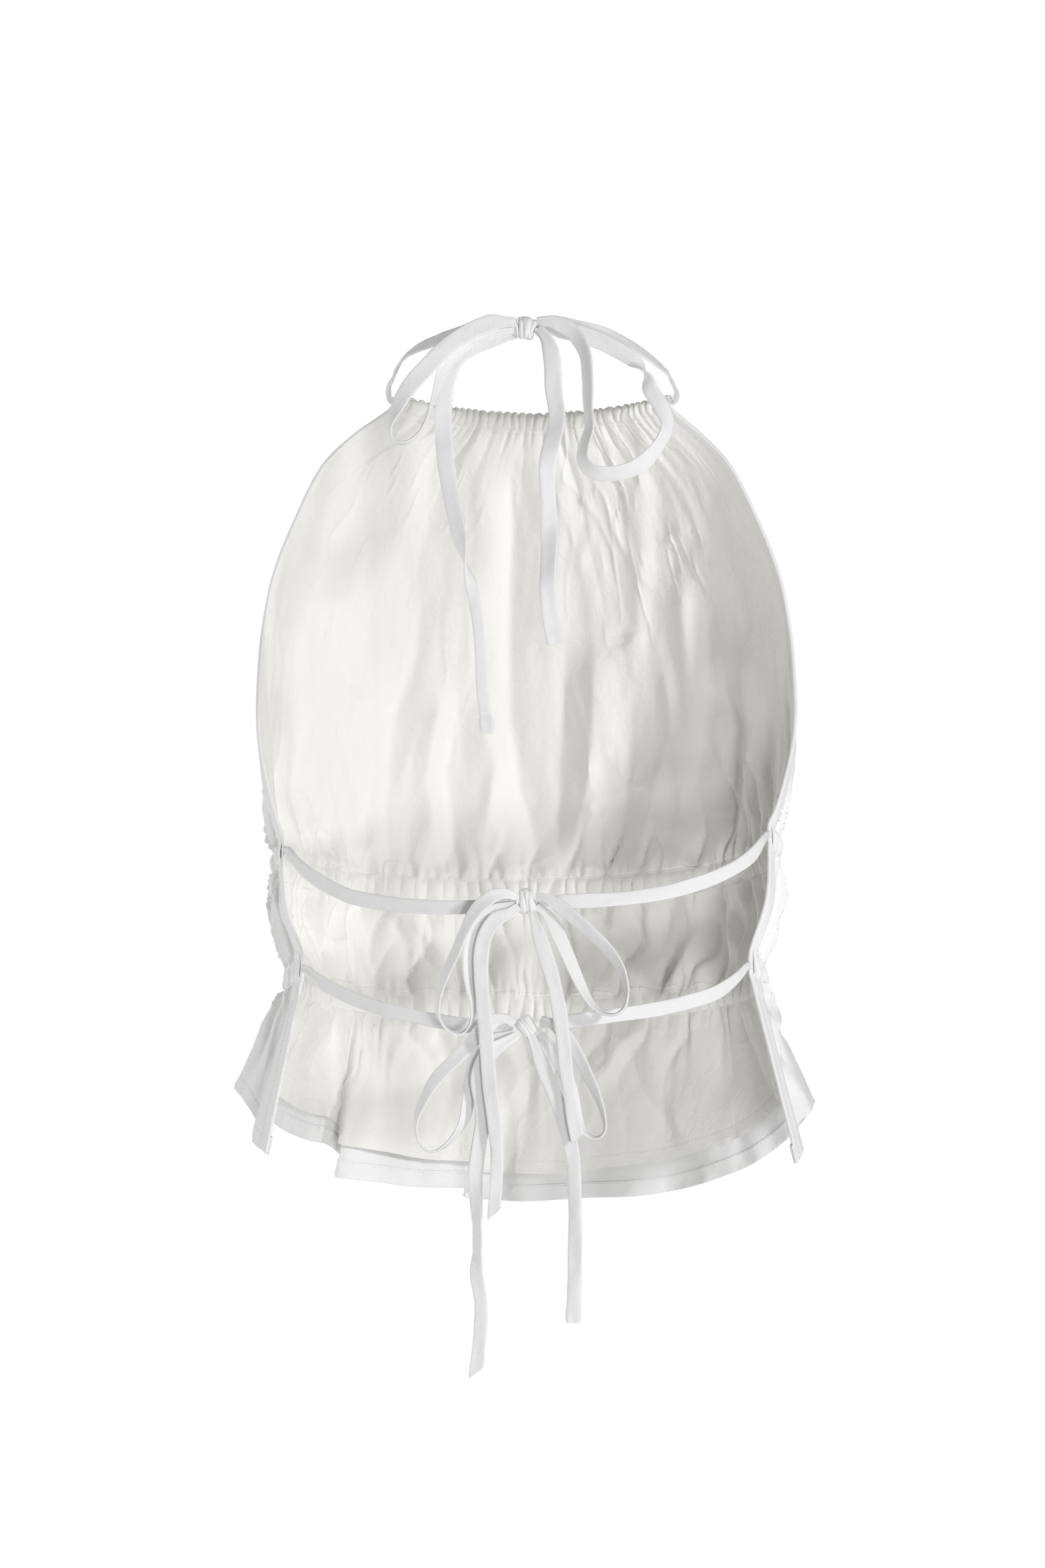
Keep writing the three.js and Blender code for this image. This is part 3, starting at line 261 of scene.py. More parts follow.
# Rows of the panel from the neck down. Each is an ellipse about the torso axis, from one side edge to the
# other: heights at the side edges and at the centre front, half axes, the angle where it stops, how far it
# sits to the right, and how much higher its right edge is than its middle.
SECTION_COLUMNS = ("edge", "front", "wide", "deep", "end", "shift", "tilt")
SECTIONS = {
    "neck top": (-32.5, -42.5, 115, 70, 46.5, 4, 0),
    "neck stitch": (-41.5, -52, 118, 73, 47.4, 3, 0),
    "collarbone": (-57, -69, 135, 81, 52, 1, 0),
    "upper chest": (-77, -91, 145, 90, 59.5, 0, 0),
    "chest": (-109, -124, 154, 101, 66, 0, 0),
    "upper bust": (-142, -158, 161, 109, 72, 0, 0),
    "bust": (-174, -191, 163.5, 114, 77, 0, 0),
    "underarm": (-207, -225, 162.5, 116, 84, 0, 0),
    "ribs": (-239, -259, 161, 116, 92, 0, 1),
    "blouse": (-268, -293, 157, 112, 99, 0, 3),
    "above waist": (-289, -317, 152.5, 104, 103, 0, 4),
    "upper stitch 1": (-299, -329, 149.5, 97, 104.5, 0, 4.5),
    "upper stitch 2": (-312.5, -343, 150, 97, 105, 0, 4),
    "waist band": (-341, -372, 150.5, 102, 108.5, 0, 2),
    "lower stitch 1": (-370, -402, 142, 90, 110, 0, 1),
    "lower stitch 2": (-384, -416, 142, 90, 110, 0, 1),
}
SECTION_TABLE = np.array(list(SECTIONS.values()), float)
LAST_SECTION = len(SECTION_TABLE) - 1
HEM_ROW = LAST_SECTION + 1

# The shell's hem seen from above, from the left side edge round the front to the right side edge: x, y from
# the torso axis, and z
HEM = {
    "left edge": (-154, -48, -487),
    "left strip": (-163, -33, -480),
    "left tuck": (-160, -18, -472),
    "left flare back": (-170, -4, -458),
    "left flare out": (-175, 14, -451),
    "left flare front": (-168, 34, -462),
    "left inner wall": (-148, 48, -480),
    "left valley": (-132, 54, -487),
    "left pleat": (-122, 62, -490),
    "left fold under": (-112, 61, -499),
    "left fold back": (-111, 54, -504),
    "left fold edge": (-117, 47, -508),
    "left fold front": (-108, 51, -510),
    "left front": (-92, 66, -513),
    "front rise 1": (-68, 90, -518),
    "front dip 1": (-46, 96, -519),
    "step edge": (-34, 97, -520),
    "step under": (-39, 105, -525),
    "front rise 2": (-22, 112, -528),
    "front dip 2": (4, 106, -528),
    "front rise 3": (34, 112, -527),
    "front dip 3": (62, 98, -525),
    "front rise 4": (90, 92, -521),
    "right front": (116, 72, -512),
    "right turn": (138, 62, -502),
    "right flare front": (160, 44, -484),
    "right flare out": (174, 18, -461),
    "right flare back": (169, -4, -466),
    "right tuck": (158, -18, -476),
    "right strip": (164, -34, -484),
    "right edge": (160, -49, -492),
}
LINING_PART_FRONT = 0.845
LINING_PART_SIDE = 0.76

# Rows of the fine mesh: from one section, to another, and how many. Each layer is made in two halves that
# meet under the upper casing.
MESH_ROWS = {
    "upper": [(0, 1, 8), (1, 3, 32), (3, 8, 46), (8, 11, 46), (11, 11.5, 4)],
    "lower": [(11.5, 12, 4), (12, 14, 42), (14, 15, 8), (15, 15.86, 44), (15.86, 16, 14)],
}
LINING_COLUMNS = {"upper": 400, "lower": 500}
SHELL_COLUMNS = {"upper": 300, "lower": 360}
# How far the columns along a side edge are from it, in millimetres
SHELL_EDGE_STEPS = [0, 0.3, 0.7, 1.2, 1.9, 2.7, 3.6, 4.5, 5.2, 5.7, 6.1, 6.6, 7.3, 8.3, 9.6, 11.2]
LINING_EDGE_STEPS = [0, 0.5, 1.1, 1.8, 2.6, 3.6, 4.6, 5.3, 6.2, 7.4, 9]

# Rows of stitches: how far they run from the side edges and above the two hems
TOPSTITCH_FROM_EDGE = 6.0
HEM_STITCH_HEIGHT = 9.0
LINING_HEM_STITCH_HEIGHT = 7.5


def cubic(before, start, end, after, part):
    slope_start = (end - before) / 2
    slope_end = (after - start) / 2
    square = part * part
    cube = square * part
    return (
        (2 * cube - 3 * square + 1) * start
        + (cube - 2 * square + part) * slope_start
        + (3 * square - 2 * cube) * end
        + (cube - square) * slope_end
    )


def section_values(at):
    """The columns of the sections at any places between them, on a smooth curve."""
    index = np.clip(np.floor(at).astype(int), 0, LAST_SECTION - 1)
    part = (at - index)[..., None]
    rows = [SECTION_TABLE[np.clip(index + step, 0, LAST_SECTION)] for step in (-1, 0, 1, 2)]
    values = cubic(*rows, part)
    return {name: values[..., column] for column, name in enumerate(SECTION_COLUMNS)}


def centripetal(points, samples_each):
    """A centripetal Catmull-Rom curve through the points, and the point number of each sample."""
    points = np.asarray(points, float)
    padded = np.vstack([2 * points[0] - points[1], points, 2 * points[-1] - points[-2]])
    curve, numbers = [], []
    part = np.arange(samples_each) / samples_each
    for index in range(len(points) - 1):
        p0, p1, p2, p3 = padded[index : index + 4]
        d0, d1, d2 = (math.sqrt(np.linalg.norm(b - a)) for a, b in ((p0, p1), (p1, p2), (p2, p3)))
        slope1 = ((p1 - p0) / d0 - (p2 - p0) / (d0 + d1) + (p2 - p1) / d1) * d1
        slope2 = ((p2 - p1) / d1 - (p3 - p1) / (d1 + d2) + (p3 - p2) / d2) * d1
        t = part[:, None]
        curve.append(
            (2 * t**3 - 3 * t**2 + 1) * p1
            + (t**3 - 2 * t**2 + t) * slope1
            + (3 * t**2 - 2 * t**3) * p2
            + (t**3 - t**2) * slope2
        )
        numbers.append(index + part)
    curve.append(points[-1:])
    numbers.append([len(points) - 1])
    return np.vstack(curve), np.concatenate(numbers)


def points_along(along, lengths, points):
    """The points at any lengths along a line whose own points have the lengths given."""
    return np.stack([np.interp(along, lengths, points[:, axis]) for axis in range(3)], axis=-1)


def lengths_along(points):
    steps = np.linalg.norm(np.diff(points, axis=0), axis=1)
    return np.concatenate([[0], np.cumsum(steps)])


HEM_CURVE = centripetal([(x, TORSO_Y + y, z) for x, y, z in HEM.values()], 60)[0]
HEM_LENGTHS = lengths_along(HEM_CURVE)


def hem_point(across):
    """A point of the hem, going straight on past its two ends."""
    along = (across + 1) / 2 * HEM_LENGTHS[-1]
    curve = points_along(along, HEM_LENGTHS, HEM_CURVE)
    left = HEM_CURVE[0] - HEM_CURVE[1]
    right = HEM_CURVE[-1] - HEM_CURVE[-2]
    past_left = np.maximum(-along, 0)[..., None] * left / np.linalg.norm(left)
    past_right = np.maximum(along - HEM_LENGTHS[-1], 0)[..., None] * right / np.linalg.norm(right)
    return curve + past_left + past_right


def section_point(across, at):
    value = section_values(at)
    angle = np.radians(value["end"]) * across
    depth = np.where(np.cos(angle) >= 0, value["deep"], BACK_DEPTH)
    return np.stack(
        [
            value["shift"] + value["wide"] * np.sin(angle),
            TORSO_Y + depth * np.cos(angle),
            value["edge"]
            + (value["front"] - value["edge"]) * np.cos(across * math.pi / 2)
            + value["tilt"] * across,
        ],
        axis=-1,
    )


def smooth_point(across, at):
    """The panel without folds. Below the last section it runs straight to the hem."""
    top = section_point(across, np.minimum(at, LAST_SECTION))
    part = np.maximum(at - LAST_SECTION, 0)[..., None]
    return top + (hem_point(across) - top) * part


def outward(across, at):
    step = 0.008
    left = smooth_point(np.maximum(across - step, -1), at)
    right = smooth_point(np.minimum(across + step, 1), at)
    above = smooth_point(across, np.maximum(at - step, 0))
    below = smooth_point(across, np.minimum(at + step, HEM_ROW))
    normal = np.cross(right - left, below - above)
    return normal / np.linalg.norm(normal, axis=-1, keepdims=True)


# Heights of the smooth panel at even places, from which panel_height reads those between
HEIGHT_PLACES = np.linspace(-1, 1, 81)
HEIGHT_ROWS = np.linspace(0, HEM_ROW, 321)
HEIGHT_GRID = smooth_point(*np.broadcast_arrays(HEIGHT_PLACES[None, :], HEIGHT_ROWS[:, None]))
HEIGHT_STEPS = np.linalg.norm(np.diff(HEIGHT_GRID, axis=0), axis=2)
HEIGHTS = np.vstack([np.zeros((1, len(HEIGHT_PLACES))), np.cumsum(HEIGHT_STEPS, axis=0)])


def panel_height(across, at):
    """How far down the smooth panel a place is, measured along the cloth from the neck edge."""
    across, at = np.broadcast_arrays(across, at)
    column = (np.clip(across, -1, 1) + 1) / 2 * (len(HEIGHT_PLACES) - 1)
    row = np.clip(at, 0, HEM_ROW) / HEM_ROW * (len(HEIGHT_ROWS) - 1)
    left = np.clip(np.floor(column).astype(int), 0, len(HEIGHT_PLACES) - 2)
    above = np.clip(np.floor(row).astype(int), 0, len(HEIGHT_ROWS) - 2)
    part_across, part_down = column - left, row - above
    upper = HEIGHTS[above, left] * (1 - part_across) + HEIGHTS[above, left + 1] * part_across
    lower = HEIGHTS[above + 1, left] * (1 - part_across) + HEIGHTS[above + 1, left + 1] * part_across
    return upper * (1 - part_down) + lower * part_down


def smoothstep(value, low, high):
    part = np.clip((value - low) / (high - low), 0, 1)
    return part * part * (3 - 2 * part)


NOISE_CELLS = 128
NOISE_START = 37.0


def noise(x, y, seed):
    """Smooth noise from -1 to 1 with one value at each whole x and y."""
    lattice = np.random.default_rng(seed).uniform(-1, 1, (NOISE_CELLS, NOISE_CELLS))
    x, y = np.broadcast_arrays(np.asarray(x, float) + NOISE_START, np.asarray(y, float) + NOISE_START)
    column, row = np.floor(x).astype(int), np.floor(y).astype(int)
    across, down = smoothstep(x - column, 0, 1), smoothstep(y - row, 0, 1)
    left, right = column % NOISE_CELLS, (column + 1) % NOISE_CELLS
    above, below = row % NOISE_CELLS, (row + 1) % NOISE_CELLS
    upper = lattice[above, left] * (1 - across) + lattice[above, right] * across
    lower = lattice[below, left] * (1 - across) + lattice[below, right] * across
    return upper * (1 - down) + lower * down


PUFF_MEAN = 0.62


def puffs(phase, roundness):
    """Round crests with sharp valleys at the whole numbers; a smaller roundness gives fuller crests."""
    return np.abs(np.sin(math.pi * phase)) ** roundness


# Casings: the stitch lines above and below, how far apart these are, ruches across, how far they puff, the
# columns of its strips' mesh, and a seed for the ruches' places
CASING_COLUMNS = ("top", "bottom", "height", "ruches", "puff", "columns", "seed")
CASING_ROWS = {
    "neck": (0, 1, 9.6, 37, 3.3, 560, 200),
    "upper": (11, 12, 13.8, 66, 3.2, 980, 210),
    "lower": (14, 15, 14.0, 64, 3.2, 980, 220),
}
CASINGS = {name: dict(zip(CASING_COLUMNS, row)) for name, row in CASING_ROWS.items()}

# Families of gathers. Each hangs from a casing's stitch line, above it (-1) or below it (1): how many of the
# casing's ruches run together in one, how deep they are, how far they reach, how much of that is uneven, how
# far they wander, and how narrow their crests are. In millimetres. Crests point into the top.
GATHER_COLUMNS = ("casing", "line", "way", "joined", "depth", "reach", "uneven", "wander", "crest")
GATHER_ROWS = [
    ("neck", 1, 1, 1, 1.8, 11, 0.6, 0.1, 0.7),
    ("neck", 1, 1, 2, 1.7, 34, 0.8, 0.2, 0.9),
    ("neck", 1, 1, 3.6, 2.1, 110, 0.6, 0.3, 1.2),
    ("upper", 11, -1, 0.8, 2.8, 9, 0.7, 0.15, 0.6),
    ("upper", 11, -1, 1.7, 6.4, 24, 0.85, 0.35, 0.75),
    ("upper", 11, -1, 3.3, 11.0, 56, 0.8, 0.5, 0.85),
    ("upper", 12, 1, 0.8, 2.6, 9, 0.7, 0.15, 0.6),
    ("upper", 12, 1, 1.7, 6.2, 24, 0.85, 0.35, 0.75),
    ("upper", 12, 1, 2.8, 11.0, 62, 0.5, 0.5, 0.8),
    ("lower", 14, -1, 0.8, 2.6, 8, 0.7, 0.15, 0.6),
    ("lower", 14, -1, 1.7, 6.0, 22, 0.85, 0.35, 0.75),
    ("lower", 14, -1, 3.0, 10.0, 54, 0.6, 0.5, 0.8),
    ("lower", 15, 1, 0.8, 2.6, 9, 0.7, 0.15, 0.6),
    ("lower", 15, 1, 1.6, 5.6, 28, 0.85, 0.35, 0.75),
    ("lower", 15, 1, 3.2, 8.0, 70, 0.75, 0.5, 0.95),
]
GATHERS = [dict(zip(GATHER_COLUMNS, row)) for row in GATHER_ROWS]

# Main creases, placed one by one, seen from the back: how wide the left and right flanks of each are, how
# deep it is, into the top where positive and away where negative, and the x and z of its line
CREASE_COLUMNS = ("left", "right", "depth", "line")
CREASE_ROWS = [
    (9, 15, -3.8, [(-8, -84), (-10, -150), (-9.5, -228), (-3, -272), (5, -300)]),
    (13, 10, -3.2, [(-64, -150), (-66, -190), (-80, -225), (-84, -262), (-86, -300)]),
    (8, 9, 3.6, [(-56, -222), (-62, -255), (-60, -300)]),
    (8, 10, -3.4, [(-42, -222), (-50, -262), (-46, -305)]),
    (8, 12, -2.6, [(-137, -140), (-143, -190), (-141, -280)]),
    (7, 12, 2.4, [(-128, -130), (-131, -200), (-126, -285)]),
    (5, 6, -1.6, [(-112, -195), (-105, -212)]),
    (14, 12, 1.4, [(-30, -60), (-28, -120), (-36, -170)]),
    (12, 14, -1.2, [(-56, -60), (-60, -100), (-72, -140)]),
    (13, 14, 1.2, [(20, -66), (22, -110), (14, -160)]),
    (9, 13, 1.9, [(71, -62), (74, -130), (68, -192)]),
    (9, 12, -1.2, [(79, -80), (81, -140), (76, -186)]),
    (9, 13, 3.6, [(43, -195), (42, -240), (36, -300)]),
    (12, 9, -2.8, [(24, -190), (22, -240), (19, -300)]),
    (9, 8, 3.2, [(98, -150), (104, -200), (103, -272)]),
    (6, 12, -3.8, [(110, -160), (110, -205), (107, -260)]),
    (9, 9, -4.0, [(118, -214), (128, -232), (126, -290)]),
    (7, 8, 3.2, [(136, -190), (141, -240), (139, -290)]),
    (8, 10, -2.6, [(66, -232), (62, -270), (66, -312)]),
    (7, 8, 2.8, [(84, -262), (80, -300)]),
    (10, 9, 3.0, [(-72, -348), (-56, -376), (-52, -396)]),
    (9, 9, -3.2, [(-97, -330), (-99, -360), (-95, -388)]),
    (8, 9, 3.0, [(-122, -318), (-124, -350), (-118, -376)]),
    (9, 11, 2.6, [(-20, -350), (-12, -375), (-16, -398)]),
    (10, 9, -2.6, [(18, -350), (24, -372), (20, -398)]),
    (9, 10, 3.8, [(47, -350), (60, -374), (72, -394)]),
    (7, 8, -3.8, [(88, -342), (82, -366), (83, -390)]),
    (7, 8, -3.4, [(108, -336), (114, -362), (115, -384)]),
    (6, 7, 2.8, [(100, -340), (103, -364), (104, -386)]),
    (6, 7, 3.0, [(127, -330), (130, -352), (131, -376)]),
    (9, 8, 3.4, [(66, -420), (56, -436), (46, -452)]),
    (12, 14, 2.8, [(76, -416), (84, -448), (104, -486)]),
    (12, 9, -2.8, [(-78, -416), (-60, -438), (-54, -456)]),
    (14, 14, 2.2, [(-30, -424), (-22, -460), (-26, -500)]),
    (10, 12, 2.2, [(-108, -400), (-100, -440), (-96, -480)]),
    (8, 7, -3.0, [(118, -400), (124, -430), (126, -452)]),
    (3.5, 3, 0.9, [(70, -177), (58, -187)]),
    (3, 4, -0.8, [(66, -172), (52, -184)]),
    (4, 3, 0.8, [(40, -116), (35, -126), (33, -138)]),
    (4, 4, 0.9, [(98, -113), (84, -121)]),
    (5, 4, 0.9, [(124, -98), (140, -140), (150, -190)]),
    (4, 5, -0.8, [(114, -104), (130, -148), (139, -196)]),
    (3, 5, 0.9, [(30, -210), (38, -236), (40, -262)]),
    (3, 4, 0.9, [(88, -204), (92, -232), (86, -262)]),
    (4, 4, -1.0, [(-96, -232), (-92, -262), (-98, -292)]),
    (4, 5, 1.0, [(-24, -236), (-20, -262), (-26, -296)]),
    (4, 4, 1.0, [(-118, -252), (-112, -276), (-116, -300)]),
    (3, 4, 1.2, [(96, -250), (100, -276), (96, -306)]),
    (4, 4, -1.2, [(-84, -352), (-74, -372), (-76, -390)]),
    (4, 3, -1.4, [(66, -352), (76, -372), (78, -394)]),
    (3, 4, -1.6, [(120, -334), (122, -356), (120, -380)]),
    (4, 5, -1.2, [(64, -430), (72, -456), (90, -480)]),
    (5, 5, 1.0, [(20, -424), (26, -450), (20, -486)]),
    (5, 5, -1.0, [(-52, -424), (-46, -452), (-56, -488)]),
]
CREASES = [dict(zip(CREASE_COLUMNS, row)) for row in CREASE_ROWS]
CREASE_DEPTH = 2.2
CREASE_CORE = 1.1
CREASE_TAPER = 22
EDGE_FLAT = (5, 22)

# The small crumple of worn cotton: spacing across and down, and depth. The top has only a part of it.
CALM_TOP = 0.4
CRUMPLES = [
    {"across": 23, "down": 120, "depth": 2.0, "seed": 41},
    {"across": 12, "down": 40, "depth": 1.3, "seed": 42},
    {"across": 6.5, "down": 15, "depth": 0.45, "seed": 43},
]
# Fine pressed lines: spacing of their lattice across and down, depth, and how narrow they are
PRESSED_LINES = [
    {"across": 34, "down": 46, "depth": 1.5, "narrow": 10, "seed": 51},
    {"across": 21, "down": 30, "depth": 1.1, "narrow": 12, "seed": 52},
]


def ruche_phase(across, casing):
    """The count of ruches from the left side edge, at uneven steps."""
    count = casing["ruches"]
    phase = (across + 1) / 2 * count
    return phase + 0.42 * noise(phase / 1.7, 0, casing["seed"]) + 0.9 * noise(phase / 7, 4, casing["seed"])


def gather_offset(across, height):
    total = np.zeros_like(across)
    for seed, family in enumerate(GATHERS):
        distance = (height - panel_height(across, family["line"])) * family["way"]
        phase = ruche_phase(across, CASINGS[family["casing"]]) / family["joined"]
        wander = family["wander"] * noise(phase / 1.5, distance / 38, 100 + seed)
        lean = 0.55 * family["wander"] * noise(phase / 2.5, 7, 150 + seed) * distance / 30
        phase = phase + (wander + lean) * smoothstep(distance, 0, 24)
        phase = phase + 0.09 * np.sin(2 * math.pi * phase) * np.sign(noise(phase / 3, 2, 170 + seed))
        fold = noise(phase, 0, 300 + seed)
        reach = family["reach"] * (1 - family["uneven"] * (0.5 + 0.5 * fold))
        depth = family["depth"] * (0.72 + 0.4 * noise(phase, 9, 300 + seed))
        fade = np.exp(-((np.maximum(distance, 0) / reach) ** 1.5))
        grow = 0.45 + 0.55 * smoothstep(distance, 0, 0.16 * family["reach"] + 3)
        # A family stays on its own side of its line
        side = smoothstep(distance, -0.5, 1.2)
        total -= depth * fade * grow * side * (puffs(phase, family["crest"]) - PUFF_MEAN)
    return total


def crease_offset(points):
    total = np.zeros(points.shape[:-1])
    for crease in CREASES:
        xs, zs = np.array(crease["line"], float).T
        x = np.interp(points[..., 2], zs[::-1], xs[::-1])
        away = points[..., 0] - x
        flank = np.where(away < 0, crease["left"], crease["right"])
        rounded = np.sqrt(away**2 + CREASE_CORE**2) - CREASE_CORE
        taper = min(CREASE_TAPER, 0.35 * (zs[0] - zs[-1]))
        above = smoothstep(zs[0] + taper - points[..., 2], 0, taper * 1.6)
        below = smoothstep(points[..., 2] - zs[-1] + taper, 0, taper * 1.6)
        on_front = smoothstep(points[..., 1], 20, 60)
        depth = CREASE_DEPTH * crease["depth"]
        total -= depth * np.exp(-((rounded / flank) ** 1.25)) * above * below * on_front
    return total


def crumple_offset(across, height):
    total = np.zeros_like(across)
    for crumple in CRUMPLES:
        sideways = across * 300 / crumple["across"]
        depth = crumple["depth"] * (CALM_TOP + (1 - CALM_TOP) * smoothstep(height, 90, 270))
        total += depth * noise(sideways, height / crumple["down"], crumple["seed"])
    for lines in PRESSED_LINES:
        bend = 0.5 * noise(across * 12, height / 25, lines["seed"] + 5)
        field = noise(across * 300 / lines["across"] + bend, height / lines["down"] + bend, lines["seed"])
        strength = smoothstep(noise(across * 5, height / 60, lines["seed"] + 9), -0.2, 0.5)
        total -= lines["depth"] * strength * (1 - np.abs(field)) ** lines["narrow"]
    return total


def line_strength(across, height):
    """How near each point is to a stitch line: 1 on it and 0 from 3 mm away."""
    near = np.full(height.shape, 1e9)
    for casing in CASINGS.values():
        for line in (casing["top"], casing["bottom"]):
            near = np.minimum(near, np.abs(height - panel_height(across, line)))
    return 1 - smoothstep(near, 0, 3)

# The cloth. Each layer is a fine grid that follows the panel, closed by a coarser grid behind it.


def widths_of_rows(at):
    across = np.linspace(-1, 1, 81)
    rows = smooth_point(*np.broadcast_arrays(across[None, :], at[:, None]))
    return np.linalg.norm(np.diff(rows, axis=1), axis=2).sum(axis=1)


def rows_between_sections(spans):
    at = [np.array([float(spans[0][0])])]
    for start, end, count in spans:
        at.append(np.linspace(start, end, count + 1)[1:])
    return np.concatenate(at)


def columns_between_edges(edge_distances, width, count):
    """Places across for each row: at fixed distances from both edges, and even between those."""
    from_edge = 2 * edge_distances / width[:, None]
    last = from_edge[:, -1:]
    even = np.linspace(0, 1, count + 1)[1:-1][None, :]
    middle = -1 + last + even * (2 - 2 * last)
    return np.hstack([-1 + from_edge, middle, (1 - from_edge)[:, ::-1]])


def grid_normals(points):
    sideways = np.gradient(points, axis=1)
    down = np.gradient(points, axis=0)
    normal = np.cross(sideways, down)
    return normal / np.maximum(np.linalg.norm(normal, axis=-1, keepdims=True), 1e-12)


def mesh_object(name, points, faces, material, uv=None, ride=True):
    mesh = bpy.data.meshes.new(name)
    mesh.from_pydata(points.tolist(), [], faces)
    if uv is not None:
        layer = mesh.uv_layers.new(name="cloth")
        corners = np.empty(len(mesh.loops), dtype=np.int32)
        mesh.loops.foreach_get("vertex_index", corners)
        layer.data.foreach_set("uv", uv[corners].astype(np.float32).ravel())
    mesh.polygons.foreach_set("use_smooth", [True] * len(mesh.polygons))
    mesh.set_sharp_from_angle(angle=math.radians(62))
    mesh.materials.append(material)
    mesh.validate()
    obj = bpy.data.objects.new(name, mesh)
    bpy.context.scene.collection.objects.link(obj)
    if ride:
        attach(obj, BODY)
    return obj


def zip_edges(first, second):
    """Triangles between two rows of corners of different numbers that run the same way."""
    faces = []
    i = j = 0
    while i < len(first) - 1 or j < len(second) - 1:
        next_i = (i + 1) / (len(first) - 1)
        next_j = (j + 1) / (len(second) - 1)
        if j == len(second) - 1 or (i < len(first) - 1 and next_i <= next_j + 1e-9):
            faces.append((first[i], second[j], first[i + 1]))
            i += 1
        else:
            faces.append((first[i], second[j], second[j + 1]))
            j += 1
    return faces


def closed_cloth(name, points, uv, thickness, outwards, material):
    """A closed layer: the points are the face that shows, and the other face lies behind it."""
    rows, columns = points.shape[:2]
    behind = -1 if outwards else 1
    hidden = points + behind * thickness * grid_normals(points)
    row_picks = np.unique(np.append(np.arange(0, rows, 2), rows - 1))
    column_picks = np.unique(np.append(np.arange(0, columns, 2), columns - 1))
    hidden = hidden[np.ix_(row_picks, column_picks)]
    hidden_uv = uv[np.ix_(row_picks, column_picks)]
    count = rows * columns
    front = np.arange(count).reshape(rows, columns)
    back = count + np.arange(hidden.shape[0] * hidden.shape[1]).reshape(hidden.shape[:2])

    faces = []
    for corners, turned in ((front, not outwards), (back, outwards)):
        quads = [corners[:-1, :-1], corners[:-1, 1:], corners[1:, 1:], corners[1:, :-1]]
        if turned:
            quads.reverse()
        faces += np.stack([quad.ravel() for quad in quads], axis=1).tolist()
    rims = [
        (front[0], back[0], True),
        (front[-1], back[-1], False),
        (front[:, 0], back[:, 0], False),
        (front[:, -1], back[:, -1], True),
    ]
    for front_rim, back_rim, turned in rims:
        triangles = zip_edges(front_rim.tolist(), back_rim.tolist())
        if turned != outwards:
            triangles = [face[::-1] for face in triangles]
        faces += triangles
    corners = np.vstack([points.reshape(-1, 3), hidden.reshape(-1, 3)]) * MM
    corner_uv = np.vstack([uv.reshape(-1, 2), hidden_uv.reshape(-1, 2)])
    return mesh_object(name, corners, faces, material, corner_uv)


def panel_frame(across, at):
    """The smooth panel's points, outward directions and heights down from the neck."""
    points = smooth_point(across, at)
    normals = outward(np.clip(across, -1, 1), np.clip(at, 0, HEM_ROW))
    return points, normals, panel_height(across, at)


def fold_offset(across, points, height, width):
    """How far the folds push both layers outwards, in millimetres."""
    from_edge = (1 - np.abs(across)) / 2 * width[:, None]
    free = smoothstep(from_edge, *EDGE_FLAT)
    folds = gather_offset(across, height) + crumple_offset(across, height) + crease_offset(points)
    return folds * (0.06 + 0.94 * free)


# How far the visible face of the shell (1) and the lining (-1) is from the middle of the two, in millimetres:
# between the stitch lines and at them
LAYER_FAR = {1: SHELL_OUTSIDE / MM, -1: -LINING_INSIDE / MM}
LAYER_NEAR = {1: 0.56, -1: 0.48}
# How far the lining's peplum hangs free of the shell's, how deep the rows of stitches press, and how far the
# ruffled top edge stands up, in millimetres
LINING_HANG = 4.2
GROOVE_DEPTH = 0.3
TOP_RUFFLE = 1.9


def layer_offset(across, height, side):
    """A layer's visible face from the middle of the two: side is 1 for the shell and -1 for the lining."""
    far = LAYER_FAR[side]
    near = LAYER_NEAR[side]
    top = 1 - smoothstep(height, 0, 2)
    hold = np.maximum(line_strength(across, height), top)
    return side * (far + (near - far) * hold)


def cloth_places(across, height, width):
    """Places on the flat cloth in millimetres, which the weave follows."""
    return np.stack([across / 2 * width[:, None] * LET_OUT, -height], axis=-1)


# Where the shell turns to the inside along the side edges: the angles of its columns round the fold, where
# the columns of the turned part lie, and how wide that part is at some rows, in millimetres
TURN_ANGLES = (180, 144, 108, 72, 36)
TURN_RADIUS = 1.1
TURNED_PARTS = (1, 0.6, 0.25)
SIDE_TURN = {"row": [0, 6, 8, 10.4, 11, 15, 16], "width": [1.3, 1.6, 4.0, 6.5, 3.2, 3.8, 3.4]}
# The same for the rows of the turned hem
HEM_ANGLES = (36, 72, 108, 144, 180)
HEM_RADIUS = 0.5
HEM_TURN_STEPS = (-1.5, -3, -5, -7, -8.6, -9.5, -10)


